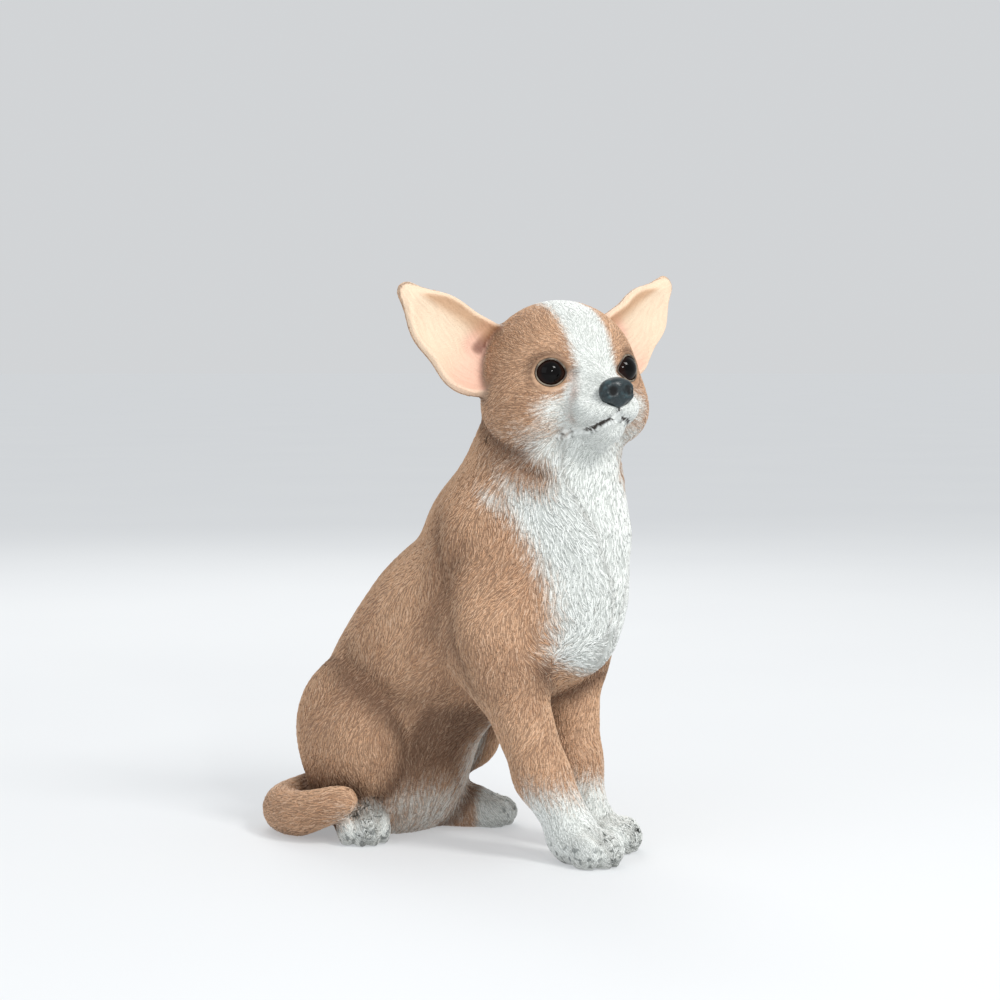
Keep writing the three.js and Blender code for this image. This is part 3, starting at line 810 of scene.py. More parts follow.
# All the darker paint in one mask: dark wash with painted shade in the creases between parts and the toe
# gaps, painted shade under the jaw and belly, round the eyes and towards the floor, and darker along the
# back and the parting of the chest
dark = np.max([ruff, flank * 0.9, armpit_shade * 0.9, shoulder, crest, ear_root * 0.9, eye_shade_and_corner, floor_shade, tail_gap,
               toes, halo_shade * (1 - share["head"]), back_edge, belly], axis=0)
print("dark points:", int((dark > 0.5).sum()))

# %% Ears, lips and the greyish dabs, with painted shade inside the ears
cup = np.zeros(len(p))
rim = np.zeros(len(p))
pale_edge = np.zeros(len(p))
pink_and_pit_shade_in_ear = np.zeros(len(p))
for name, ear in EARS.items():
    hollow = ear_leaf(p, ear, EAR_DEPTH, EAR_WALL)
    own = step_up(share[name], 0.25, 0.6) * step_up(normal @ ear["facing"], -0.1, 0.2)
    inner = own * step_up(1.5 - hollow, 0, 1.0)
    cup = np.maximum(cup, own * step_up(4.5 - hollow, 0, 1.0))
    root, _, tip = ear["line"]
    long = length(tip - root)
    reach = (p - root) @ (tip - root) / long
    upper = np.cross(tip - root, ear["facing"])
    upper *= np.sign(upper[2]) / length(upper)
    high = (p - root) @ upper
    half = np.interp(reach, [0, long / 2, long], np.array(ear["radii"]) - EAR_WALL)
    pale_edge = np.maximum(pale_edge, own * step_up(hollow, 0.1, 1.0))
    # Painted shade: a brown band inside the ear, under its upper rim
    rim = np.maximum(rim, inner * step_up(high / half, 0.3, 0.85))
    # Painted shade deep in the ear's hollow near its root, strong enough to reach the dark red-brown; the
    # paler pink grows towards the root
    ear_pit_shade = np.exp(-((reach - 1) / 8) ** 2) * step_up(high, -7, 5)
    pink_and_pit_shade_in_ear = np.maximum(pink_and_pit_shade_in_ear, own * np.maximum(step_up(20 - reach, 0, 30) * 0.62, ear_pit_shade))
streak = np.zeros(len(p))
for side in (-1, 1):
    line = np.array([head_point(side * x, y, z) for x, y, z in
                     [(12.4, -29.6, -3.5), (14.5, -33, -9), (15.4, -33.9, -14), (15.7, -32, -24)]])
    streak = np.maximum(streak, near_line(line, 2.3))
dabs = np.zeros(len(p))
for leg in FORELEGS.values():
    q = (p - np.array([leg["paw"][0], leg["paw"][1], 0])) @ turned(0, 0, leg["heading"])
    dabs = np.maximum(dabs, step_up(-q[:, 1], 9, 15) * step_up(12 - q[:, 2], 0, 5))
for leg in HINDLEGS.values():
    q = (p - np.array(leg["foot"])) @ turned(0, 0, leg["heading"])
    dabs = np.maximum(dabs, step_up(-q[:, 1], 4, 10) * step_up(14 - q[:, 2], 0, 5))
lips = near_line(MOUTH_LINE, 2.6) * 0.5
print("points inside the ears:", int((cup > 0.5).sum()))

# %% [markdown]
# ## The lie of the hair
# On a short-coated dog the hair runs back from the nose over the head, down the neck and chest,
# back and down over the ribs and thighs, down the legs and out along the tail. Each part has its
# own direction; where parts meet, the directions are blended by how near each part is.

# %% Directions on each part, blended and laid flat
lie = np.zeros_like(p)
chest_front = step_up(26 - p[:, 1], 0, 16) * step_up(p[:, 2], 80, 92)
below_tip = step_up(119 - p[:, 2], 0, 12)
inward = step_up(np.abs(p[:, 0]) - crest_at, -1.5, 2.5) * 0.8 - 0.15
down = np.stack([-np.sign(p[:, 0]) * inward, np.full(len(p), 0.02), np.full(len(p), -1.0)], -1)
cowlick = np.stack([np.sign(p[:, 0]) * 24, np.full(len(p), 12.0), np.full(len(p), 99.0)], -1) - p
front = unit(down) * (1 - below_tip)[:, None] + unit(cowlick) * below_tip[:, None]
back_down = np.array([0.0, 0.5, -0.86])
torso_lie = front * chest_front[:, None] + back_down * (1 - chest_front)[:, None]
neck_lie = np.stack([-p[:, 0] * 0.012, np.full(len(p), 0.22), np.full(len(p), -1.0)], -1)
head_lie = p - head_point(0, -54, -8)
lies = {"torso": torso_lie, "neck": neck_lie, "head": unit(head_lie)}
for name, ear in EARS.items():
    lies[name] = np.tile(unit(ear["line"][2] - ear["line"][0]), (len(p), 1))
for name, leg in FORELEGS.items():
    lies["foreleg_" + name] = np.tile([0.0, 0.12, -1.0], (len(p), 1))
    lies["forepaw_" + name] = np.tile(ahead_of(leg, -0.7), (len(p), 1))
for name, leg in HINDLEGS.items():
    lies["hindleg_" + name] = np.tile([0.0, 0.35, -0.93], (len(p), 1))
    lies["hindpaw_" + name] = np.tile(ahead_of(leg, -0.6), (len(p), 1))
tail_lie = np.zeros_like(p)
best = np.full(len(p), 1e9)
for a, b in zip(TAIL_LINE, TAIL_LINE[1:]):
    away = length(p - (a[:3] + b[:3]) / 2)
    tail_lie[away < best] = unit(b[:3] - a[:3])
    best = np.minimum(best, away)
lies["tail"] = tail_lie
for name in names:
    lie += lies[name] * share[name][:, None]
lie = unit(lie - normal * (lie * normal).sum(-1)[:, None])
sway = 0.30 * np.sin(p @ [0.11, 0.07, 0.09] + 1.3) + 0.22 * np.sin(p @ [-0.16, 0.19, 0.23] + 0.4)
aside = np.cross(normal, lie)
lie = unit(lie * np.cos(sway)[:, None] + aside * np.sin(sway)[:, None])
print("the hair sways by up to", round(float(np.degrees(np.abs(sway).max())), 1), "degrees")

# %% [markdown]
# ## The size of the strokes
# The strokes are long and coarse on the chest, shorter on the body and very fine on the face and the
# paws. Round the lips they are shorter still, so that they don't hide the line of the mouth. Nothing
# is pressed into the eyes, the nose, the lips, the insides of the ears or the underside.

# %% Length, width and height of the strokes on each part, in millimetres
SIZES = {"torso": (4.4, 0.80, 0.40), "neck": (4.8, 0.80, 0.42), "head": (3.3, 0.70, 0.34),
         "tail": (4.8, 0.85, 0.45), "ear": (2.8, 0.65, 0.24), "foreleg": (3.9, 0.75, 0.34),
         "forepaw": (2.4, 0.70, 0.26), "hindleg": (4.3, 0.80, 0.40), "hindpaw": (2.2, 0.65, 0.24)}
size = np.zeros((len(p), 3))
for name in names:
    size += np.array(SIZES[name.split("_")[0]]) * share[name][:, None]
CHEST_STROKE = np.array([6.2, 0.98, 0.5])
FACE_STROKE = np.array([2.0, 0.6, 0.24])
LIP_STROKE = np.array([1.3, 0.5, 0.18])
EAR_FRINGE = np.array([1.6, 0.15, 0.25])
size += (CHEST_STROKE - size) * (chest_front * trunk)[:, None]
face = step_up(-h[:, 1], 8, 38) * share["head"]
size += (FACE_STROKE - size) * face[:, None]
size += ear_root[:, None] * share["head"][:, None] * EAR_FRINGE
mouth_away = line_distance(p, MOUTH_LINE)
philtrum_away = line_distance(p, PHILTRUM_LINE)
near_mouth = step_up(8 - np.minimum(mouth_away, philtrum_away), 0, 5)
size += (LIP_STROKE - size) * near_mouth[:, None]
print("mean stroke in mm:", np.round(size.mean(axis=0), 2))

# %% Where no stroke stands: eyes, nose, lips, inside the ears and underneath
bare = np.zeros(len(p))
for side in (-1, 1):
    from_eye = length(p - eye_centre(side))
    in_lids = step_up(-eye_opening(p, side), -1.5, -0.9) * (from_eye < 12)
    bare = np.max([bare, in_lids, from_eye < EYE_RADIUS + 0.6], axis=0)
from_nose = length((p - head_point(*NOSE_AT)) @ HEAD_AXES / [8.6, 8, 7.2])
bare = np.maximum(bare, step_up(1.04 - from_nose, 0, 0.06))
bare = np.maximum(bare, step_up(2.9 - mouth_away, 0, 0.6))
bare = np.maximum(bare, step_up(2.2 - philtrum_away, 0, 0.6))
bare = np.max([bare, cup > 0.3, p[:, 2] < 1.2], axis=0)
print("bare points:", int((bare > 0.5).sum()))

# %% [markdown]
# ## Storing the numbers on the mesh
# A named attribute is a number or a vector kept at each point of a mesh, and a material can read it
# by name. The skin's bump follows the `lie` vectors, and every area above becomes one attribute.

# %% Attributes on the skin
# The pink of the ears also carries the painted shade deep in their hollows
AREAS = {"white": white, "dark": dark, "cream": cup, "blush": np.clip(cup * pink_and_pit_shade_in_ear, 0, 1), "band": rim,
         "streak": streak, "edge": pale_edge, "dabs": dabs, "line": mouth, "lips": lips}


def store(mesh, name, values, kind="FLOAT"):
    field = mesh.attributes.new(name, kind, "POINT")
    key = "vector" if kind == "FLOAT_VECTOR" else "value"
    field.data.foreach_set(key, np.ascontiguousarray(values, dtype=np.float32).ravel())


for name, values in AREAS.items():
    store(skin.data, name, values)
store(skin.data, "lie", lie, "FLOAT_VECTOR")
store(skin.data, "ridge", np.clip(0.12 + 0.5 * bare, 0, 1))
store(skin.data, "tone", np.full(len(p), 0.5))
print("areas stored:", ", ".join(AREAS))

# %% [markdown]
# ## Unwrapping the skin
# The skin gets a flat map of its own shape. Every stroke later takes a tiny patch of that map at
# the place where its root stands.

# %% The map
bpy.ops.object.select_all(action="DESELECT")
bpy.context.view_layer.objects.active = skin
skin.select_set(True)
skin.data.uv_layers.new(name="OFBake")
bpy.ops.object.mode_set(mode="EDIT")
bpy.ops.mesh.select_all(action="SELECT")
bpy.ops.uv.smart_project(angle_limit=math.radians(66), island_margin=0.002)
bpy.ops.object.mode_set(mode="OBJECT")
flat_map = np.empty(len(skin.data.loops) * 2, dtype=np.float32)
skin.data.uv_layers["OFBake"].data.foreach_get("uv", flat_map)
flat_map = flat_map.reshape(-1, 2)
print("map from", flat_map.min(axis=0), "to", flat_map.max(axis=0))

# %% [markdown]
# ## Sowing the strokes
# The sculptor pressed thousands of short strokes into the clay. Each is a low ridge, so we build
# low ridges: a pointed root, two rings of three corners and a pointed tip, which is 12 triangles.
# Roots are drawn at random by area, and one root is kept in each small cell, so that they lie evenly.

# %% Where the roots stand
skin.data.calc_loop_triangles()
triangles = len(skin.data.loop_triangles)
tri_verts = np.empty(triangles * 3, dtype=np.int32)
tri_loops = np.empty(triangles * 3, dtype=np.int32)
skin.data.loop_triangles.foreach_get("vertices", tri_verts)
skin.data.loop_triangles.foreach_get("loops", tri_loops)
tri_verts = tri_verts.reshape(-1, 3)
tri_loops = tri_loops.reshape(-1, 3)
a, b, c = (p[tri_verts[:, i]] for i in range(3))
area = length(np.cross(b - a, c - a)) / 2
COVER = 1.5           # how often the strokes cover the skin
DRAWN = 3.0           # roots drawn for each one that may stay
cell = np.sqrt(size[:, 0] * size[:, 1] / COVER)
tri_cell = cell[tri_verts].mean(axis=1)
tri_bare = bare[tri_verts].max(axis=1) > 0.5
wanted = np.where(tri_bare, 0, area * DRAWN / tri_cell**2)
count = rng.poisson(wanted)
chosen = np.repeat(np.arange(triangles), count)
chosen = chosen[rng.permutation(len(chosen))]
spread = np.sqrt(rng.random(len(chosen)))
turn = rng.random(len(chosen))
weight = np.stack([1 - spread, spread * (1 - turn), spread * turn], -1)


def over(values):
    """A value at each root, from the three corners that it stands between."""
    corners = values[tri_verts[chosen]]
    shape = weight if corners.ndim == 2 else weight[..., None]
    return (corners * shape).sum(axis=1)


roots = over(p)
classes = np.round(np.log2(over(cell)) * 3).astype(int)
keep = np.zeros(len(roots), bool)
for level in np.unique(classes):
    own = np.flatnonzero(classes == level)
    grid = np.floor(roots[own] / (2 ** (level / 3.0) * 0.93)).astype(np.int64)
    key = grid @ np.array([1, 4096, 4096 * 4096])
    keep[own[np.unique(key, return_index=True)[1]]] = True
chosen = chosen[keep]
weight = weight[keep]
roots = roots[keep]
print("strokes:", len(roots), "of", len(keep), "drawn")

# %% Each stroke's own direction and size
root_normal = unit(over(normal))
heading = over(lie)
jitter = rng.normal(0, 0.16, len(roots))
root_lie = unit(heading - root_normal * (heading * root_normal).sum(-1)[:, None])
root_aside = np.cross(root_normal, root_lie)
root_lie = unit(root_lie * np.cos(jitter)[:, None] + root_aside * np.sin(jitter)[:, None])
root_aside = np.cross(root_normal, root_lie)
root_size = over(size) * rng.uniform(0.75, 1.25, (len(roots), 3))
bend = rng.normal(0, 0.10, len(roots))
finder = BVHTree.FromPolygons(to_world(p).tolist(), tri_verts.tolist())


def on_skin(points):
    """Nearest places of the skin and the way out there."""
    places = np.empty_like(points)
    outs = np.empty_like(points)
    for i, q in enumerate(to_world(points).tolist()):
        place, out, _, _ = finder.find_nearest(q)
        places[i] = place
        outs[i] = out
    return to_dog(places), outs


reach = root_size[:, :1]
middle, _ = on_skin(roots + root_lie * reach * 0.5 + root_aside * reach * (bend * 0.3)[:, None])
ends, end_normal = on_skin(roots + root_lie * reach + root_aside * reach * bend[:, None])
print("strokes laid on the skin")

# %% Building the ridges
STATIONS = [(0.0, 0.0, -0.15), (0.30, 1.0, 1.0), (0.68, 0.85, 0.85), (1.0, 0.0, 0.45)]
SUNK = 0.30
CORNERS = 8
points = []
ridge_marks = []
for s, wide, high in STATIONS:
    place = roots * (1 - s) * (1 - 2 * s) + middle * 4 * s * (1 - s) + ends * s * (2 * s - 1)
    out = unit(root_normal * (1 - s) + end_normal * s)
    crest = place + out * (root_size[:, 2:] * high)
    if wide == 0:
        points.append(crest)
        ridge_marks.append(np.full(len(roots), 0.15 if s == 0 else 0.8))
        continue
    half = root_aside * (root_size[:, 1:2] * wide * 0.5)
    points += [place - half - out * SUNK, crest, place + half - out * SUNK]
    ridge_marks += [np.zeros(len(roots)), np.full(len(roots), 1.0), np.zeros(len(roots))]
stroke_points = np.stack(points, axis=1)
stroke_points[..., 2] = np.maximum(stroke_points[..., 2], 0.05)
stroke_ridge = np.stack(ridge_marks, axis=1)
STROKE_FACES = np.array([[0, 2, 1], [0, 3, 2], [0, 1, 3],
                         [1, 2, 5], [1, 5, 4], [2, 3, 6], [2, 6, 5], [3, 1, 4], [3, 4, 6],
                         [4, 5, 7], [5, 6, 7], [6, 4, 7]])
root_map = (flat_map[tri_loops[chosen]] * weight[..., None]).sum(axis=1)
PATCH = 0.003
patch_shape = np.array([[0, -0.5], [-0.5, -0.2], [0, -0.2], [0.5, -0.2],
                        [-0.4, 0.2], [0, 0.2], [0.4, 0.2], [0, 0.5]]) * PATCH
stroke_map = np.clip(root_map[:, None, :] + patch_shape[None], 0, 1)
stroke_tone = rng.random(len(roots))
root_areas = {name: over(values) for name, values in AREAS.items()}
print("corners of all strokes:", stroke_points.shape[0] * CORNERS)


# %% One piece of coat from some of the strokes
def coat_piece(name, pick):
    number = len(pick)
    mesh = bpy.data.meshes.new(name)
    mesh.vertices.add(number * CORNERS)
    mesh.vertices.foreach_set("co", to_world(stroke_points[pick]).astype(np.float32).ravel())
    corners = (STROKE_FACES[None] + (np.arange(number) * CORNERS)[:, None, None]).reshape(-1)
    mesh.loops.add(len(corners))
    mesh.loops.foreach_set("vertex_index", corners.astype(np.int32))
    mesh.polygons.add(number * len(STROKE_FACES))
    mesh.polygons.foreach_set("loop_start", np.arange(0, len(corners), 3, dtype=np.int32))
    mesh.update(calc_edges=True)
    mesh.shade_smooth()
    layer = mesh.uv_layers.new(name="OFBake")
    layer.data.foreach_set("uv", stroke_map[pick].reshape(-1, 2)[corners].astype(np.float32).ravel())
    for area_name, values in root_areas.items():
        store(mesh, area_name, np.repeat(values[pick], CORNERS))
    store(mesh, "lie", np.repeat(root_lie[pick], CORNERS, axis=0), "FLOAT_VECTOR")
    store(mesh, "ridge", stroke_ridge[pick])
    store(mesh, "tone", np.repeat(stroke_tone[pick], CORNERS))
    made = new_object(name, mesh)
    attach(made, "root")
    print(name, "triangles:", number * len(STROKE_FACES))
    return made


# %% The coat, parted by region only because no piece may grow too large
part_of_root = np.array(names)[np.argmax(np.stack([over(share[name]) for name in names]), axis=0)]
REGIONS = {"coat_head": ("head", "ear_left", "ear_right"), "coat_neck": ("neck",), "coat_body": ("torso",),
           "coat_forelegs": ("foreleg_left", "foreleg_right", "forepaw_left", "forepaw_right"),
           "coat_haunches": ("hindleg_left", "hindleg_right", "hindpaw_left", "hindpaw_right", "tail")}
MOST = 16600          # strokes in one piece
coat = []
for name, parts in REGIONS.items():
    pick = np.flatnonzero(np.isin(part_of_root, parts))
    pick = pick[np.argsort(roots[pick, 0], kind="stable")]
    shares = int(np.ceil(len(pick) / MOST))
    for i, some in enumerate(np.array_split(pick, shares)):
        coat.append(coat_piece(name if shares == 1 else f"{name}_{i + 1}", some))
print("pieces of coat:", len(coat))

# %% [markdown]
# ## Eyes, lids and nose
# The eyes are glossy balls with a black pupil that fades into dark brown. Each lies in a ring that
# is the edge of its lids. The nose leather is made from a fine ball that is drawn on to its field.

# %% Eyeballs
def eyeball(side, name):
    mesh = bpy.data.meshes.new(name)
    bm = bmesh.new()
    bmesh.ops.create_uvsphere(bm, u_segments=72, v_segments=48, radius=1.0)
    bm.to_mesh(mesh)
    bm.free()
    q = unit(points_of(mesh))
    away = np.arccos(np.clip(q @ GAZE[side], -1, 1))
    swell = 0.3 * step_up(0.75 - away, 0, 0.45)
    set_points(mesh, to_world(eye_centre(side) + q * (EYE_RADIUS + swell - 0.05)[:, None]))
    mesh.shade_smooth()
    store(mesh, "away", away)
    made = new_object(name, mesh)
    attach(made, "root")
    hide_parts("eye_left" if side > 0 else "eye_right")
    return made


eyes = [eyeball(1, "eyeball_left"), eyeball(-1, "eyeball_right")]
print("eyeballs:", len(eyes))

# %% Lid rims
def tube(name, line, radii, sides):
    """A closed ring of a tube, swept along the line."""
    line = np.asarray(line)
    ahead = unit(np.roll(line, -1, axis=0) - np.roll(line, 1, axis=0))
    centre = line.mean(axis=0)
    out = unit(line - centre)
    out = unit(out - ahead * (out * ahead).sum(-1)[:, None])
    up = np.cross(ahead, out)
    bm = bmesh.new()
    rings = []
    for place, o, u, r in zip(line, out, up, radii):
        ring = []
        for k in range(sides):
            angle = 2 * math.pi * k / sides
            corner = place + (o * math.cos(angle) + u * math.sin(angle)) * r
            ring.append(bm.verts.new(Vector(to_world(corner))))
        rings.append(ring)
    for i, ring in enumerate(rings):
        after = rings[(i + 1) % len(rings)]
        for k in range(sides):
            bm.faces.new([ring[k], ring[(k + 1) % sides], after[(k + 1) % sides], after[k]])
    bmesh.ops.recalc_face_normals(bm, faces=bm.faces)
    mesh = bpy.data.meshes.new(name)
    bm.to_mesh(mesh)
    bm.free()
    mesh.shade_smooth()
    made = new_object(name, mesh)
    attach(made, "root")
    return made


lids = []
for side, name in ((1, "lid_rim_left"), (-1, "lid_rim_right")):
    round_angle = np.arange(80) / 80 * 2 * math.pi
    across, up = almond(side, round_angle)
    angle = np.hypot(across, up)
    flat = (OUTWARD[side] * across[:, None] + UPWARD[side] * up[:, None]) / angle[:, None]
    sight = GAZE[side] * np.cos(angle)[:, None] + flat * np.sin(angle)[:, None]
    thick = 0.42 + 0.1 * np.clip(np.sin(round_angle), 0, 1)
    ring = tube(name, eye_centre(side) + sight * (EYE_RADIUS + 0.45), thick, 10)
    lids.append(ring)
print("lid rims:", len(lids))

# %% Nose leather
NOSE_BALL = [8.2, 6, 6.8]
bm = bmesh.new()
bmesh.ops.create_icosphere(bm, subdivisions=6, radius=1.0)
nose_mesh = bpy.data.meshes.new("nose_leather")
bm.to_mesh(nose_mesh)
bm.free()
q = head_point(*NOSE_AT) + (unit(points_of(nose_mesh)) * NOSE_BALL) @ HEAD_AXES.T
for _ in range(6):
    g = np.stack([(nose_clay(q + e) - nose_clay(q - e)) / 0.16 for e in np.eye(3) * 0.08], -1)
    move = g * (nose_clay(q) / np.maximum((g * g).sum(-1), 0.3))[:, None]
    q = q - move * np.minimum(1, 0.8 / np.maximum(length(move), 1e-6))[:, None]
set_points(nose_mesh, to_world(q))
hole = np.min([length(q - head_point(*place)) for place in NOSTRILS], axis=0)
store(nose_mesh, "hole", step_up(3.2 - hole, 0, 1.2))
nose_mesh.shade_smooth()
nose = new_object("nose_leather", nose_mesh)
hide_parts("nose")
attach(nose, "root")
print("nose faces:", len(nose_mesh.polygons))

# %% [markdown]
# ## Paints
# Materials are trees of nodes. The class below wraps one socket, so that sums can be written in
# Python: each operator adds the Math or Vector Math node that it stands for. All other nodes come
# from one method, which takes the kind of node, its settings and the values of its sockets.

# %% Sums of sockets
class Wire:
    """One output of a node, with Python's own operators."""

    def __init__(self, socket):
        self.socket = socket
        self.tree = socket.id_data

    @staticmethod
    def node(tree, kind, settings, values, out=None):
        made = tree.nodes.new("ShaderNode" + kind)
        for name, value in settings.items():
            setattr(made, name, value)
        for name, value in values.items():
            if isinstance(name, int):
                socket = made.inputs[name]
            else:
                socket = next(s for s in made.inputs if s.name == name and s.enabled)
            if isinstance(value, Wire):
                tree.links.new(value.socket, socket)
            else:
                socket.default_value = value
        if out is None:
            return Wire(next(s for s in made.outputs if s.enabled))
        return Wire(made.outputs[out])

    def sum(self, operation, one, other):
        if self.socket.type == "VECTOR":
            return Wire.node(self.tree, "VectorMath", {"operation": operation}, {0: one, 1: other})
        return Wire.node(self.tree, "Math", {"operation": operation}, {0: one, 1: other})

    def __add__(self, other):
        return self.sum("ADD", self, other)

    __radd__ = __add__

    def __sub__(self, other):
        return self.sum("SUBTRACT", self, other)

    def __rsub__(self, other):
        return self.sum("SUBTRACT", other, self)

    def __mul__(self, other):
        if self.socket.type == "VECTOR":
            return Wire.node(self.tree, "VectorMath", {"operation": "SCALE"}, {0: self, 3: other})
        return self.sum("MULTIPLY", self, other)

    __rmul__ = __mul__

    def ramp(self, low, high):
        """0 below low, 1 above high, smooth between."""
        return Wire.node(self.tree, "MapRange", {"interpolation_type": "SMOOTHSTEP"},
                         {"Value": self, "From Min": low, "From Max": high})


def linear(v):
    return v / 255 / 12.92 if v < 10 else ((v / 255 + 0.055) / 1.055) ** 2.4


def screen(red, green, blue):
    """A colour as a screen shows it, 0 to 255, turned into the linear numbers of a shader."""
    return (linear(red), linear(green), linear(blue), 1.0)


def mix(tree, factor, one, other):
    return Wire.node(tree, "Mix", {"data_type": "RGBA"}, {"Factor": factor, "A": one, "B": other})


def finish(name):
    material = bpy.data.materials.new(name)
    material.use_nodes = True
    return material, material.node_tree, material.node_tree.nodes["Principled BSDF"]


def read(tree, name, out="Fac"):
    return Wire.node(tree, "Attribute", {"attribute_name": name}, {}, out)


def noise(tree, place, scale, detail=2.0):
    return Wire.node(tree, "TexNoise", {}, {"Vector": place, "Scale": scale, "Detail": detail}, "Fac")


def feed(tree, shader, **inputs):
    for name, value in inputs.items():
        socket = shader.inputs[name.replace("_", " ")]
        if isinstance(value, Wire):
            tree.links.new(value.socket, socket)
        else:
            socket.default_value = value


print("mid grey on the screen is", round(screen(128, 128, 128)[0], 3), "in a shader")

# %% [markdown]
# ## Painted resin
# The coat's paint is built as the painter worked: a base colour, a dark wash that stays in the
# grooves, and light colour brushed over the ridges. Painted shade lies in the creases, under the jaw
# and belly, round the eyes and inside the ears. Fine grooves between the modelled strokes come
# from noise that is averaged along the lie of the hair, which draws it out into short hairs.

# %% Paints of the coat
FAWN_DEEP = screen(178, 132, 98)
FAWN = screen(214, 170, 134)
FAWN_LIGHT = screen(240, 212, 184)
WHITE = screen(240, 243, 240)
CREAM = screen(226, 204, 178)
PINK = screen(226, 178, 158)
# Dark red-brown of the painted shade deep in each ear's hollow
EAR_PIT_SHADE_COLOUR = screen(120, 64, 52)
# Brown of the painted shade under the upper rim of each ear
EAR_SHADE_BROWN = screen(178, 128, 84)
# Dark wash of the grooves; the same colours lay the painted shade of the creases, jaw, belly, eyes and floor
WASH_AND_SHADE = screen(84, 56, 38)
WASH_AND_SHADE_ON_WHITE = screen(134, 140, 134)
STREAK = screen(170, 128, 110)
DAB = screen(92, 98, 100)
LINE = screen(44, 36, 31)
print("the fawn paint on the screen is 214, 170, 134 and in a shader", np.round(FAWN[:3], 2))

# %% The layers of paint, from the base to the brushed ridges
HAIR_FINE = 760.0     # scale of the noise that is drawn out into hairs
coat_paint, tree, shader = finish("resin_coat")
place = Wire.node(tree, "TexCoord", {}, {}, "Object")
hair = read(tree, "lie", "Vector")
strand = noise(tree, place, HAIR_FINE)
for offset in (-2.2, -1.1, 1.1, 2.2):
    strand = strand + noise(tree, place + hair * (offset * MM), HAIR_FINE)
strand = strand * 0.2
groove = strand.ramp(0.40, 0.60)
tone = read(tree, "tone")
ridge = read(tree, "ridge")
patches = noise(tree, place, 38.0, 3.0).ramp(0.35, 0.65)
is_white = read(tree, "white")
white_here = (is_white + (groove - 0.5) * 0.25 + (tone - 0.5) * 0.25).ramp(0.08, 0.92)
fawn = mix(tree, patches * 0.6, FAWN, FAWN_DEEP)
fawn = mix(tree, tone * 0.35, fawn, FAWN_LIGHT)
base = mix(tree, white_here, fawn, WHITE)
base = mix(tree, read(tree, "cream"), base, CREAM)
blush = read(tree, "blush")
base = mix(tree, blush.ramp(0.05, 0.7), base, PINK)
# Painted shade deep in the ear's hollow
base = mix(tree, blush.ramp(0.75, 1.0), base, EAR_PIT_SHADE_COLOUR)
# Painted shade under the upper rim of each ear
base = mix(tree, read(tree, "band") * 0.75, base, EAR_SHADE_BROWN)
base = mix(tree, read(tree, "edge") * 0.8, base, FAWN_LIGHT)
base = mix(tree, read(tree, "streak") * 0.6, base, STREAK)
spots = noise(tree, place, 330.0, 3.0).ramp(0.52, 0.62)
base = mix(tree, read(tree, "dabs") * spots * 0.75, base, DAB)
base = mix(tree, read(tree, "lips") * 0.5, base, DAB)
wash = mix(tree, white_here, WASH_AND_SHADE, WASH_AND_SHADE_ON_WHITE)
lit = (ridge * 0.9 + groove * 0.45).ramp(0.15, 1.0)
colour = mix(tree, (1 - lit) * (0.62 - read(tree, "cream") * 0.42), base, wash)
# Painted shade, with the dark wash of the creases, laid over the coat by the crease mask
colour = mix(tree, read(tree, "dark") * 0.8, colour, mix(tree, white_here * 0.5, WASH_AND_SHADE, WASH_AND_SHADE_ON_WHITE))
brushed = (ridge + groove * 0.4).ramp(0.95, 1.4)
colour = mix(tree, brushed * 0.30, colour, mix(tree, white_here, FAWN_LIGHT, WHITE))
colour = mix(tree, read(tree, "line").ramp(0.25, 0.75), colour, LINE)
grain = noise(tree, place, 3200.0, 2.0)
height = groove * 0.8 + grain * 0.25
bump = Wire.node(tree, "Bump", {}, {"Strength": 0.55, "Distance": 0.0004, "Height": height})
feed(tree, shader, Base_Color=colour, Roughness=0.66 - lit * 0.12, Normal=bump)
shader.inputs["Specular IOR Level"].default_value = 0.35
for piece in [skin, *coat]:
    piece.data.materials.clear()
    piece.data.materials.append(coat_paint)
print("nodes in the coat's paint:", len(tree.nodes))

# %% [markdown]
# ## Gloss for the eyes
# The eyes of such a statue are brushed with clear gloss over near-black paint. We leave the pupil
# black and let it fade into dark brown, and keep the gloss weak enough that the room doesn't grey it.

# %% Eye gloss
PUPIL = screen(8, 6, 6)
IRIS = screen(44, 19, 10)
IRIS_EDGE = screen(16, 8, 6)
eye_paint, tree, shader = finish("eye_gloss")
away = read(tree, "away")
place = Wire.node(tree, "TexCoord", {}, {}, "Object")
fibres = noise(tree, place, 900.0, 3.0)
iris = mix(tree, fibres, IRIS_EDGE, IRIS)
eye_colour = mix(tree, (away + (fibres - 0.5) * 0.12).ramp(0.5, 0.85), PUPIL, iris)
eye_colour = mix(tree, away.ramp(0.92, 1.05), eye_colour, IRIS_EDGE)
feed(tree, shader, Base_Color=eye_colour, Roughness=0.06 + fibres * 0.03)
shader.inputs["IOR"].default_value = 1.3
shader.inputs["Specular IOR Level"].default_value = 0.3
for piece in eyes:
    piece.data.materials.append(eye_paint)
print("nodes in the eye gloss:", len(tree.nodes))

# %% [markdown]
# ## Lids and nose
# The lid edge is thinned paint, a little uneven. The nose is dark paint over a pebbled leather, worn
# lighter in places; a Voronoi texture gives the pebbles, and the nostrils stay black and dull.

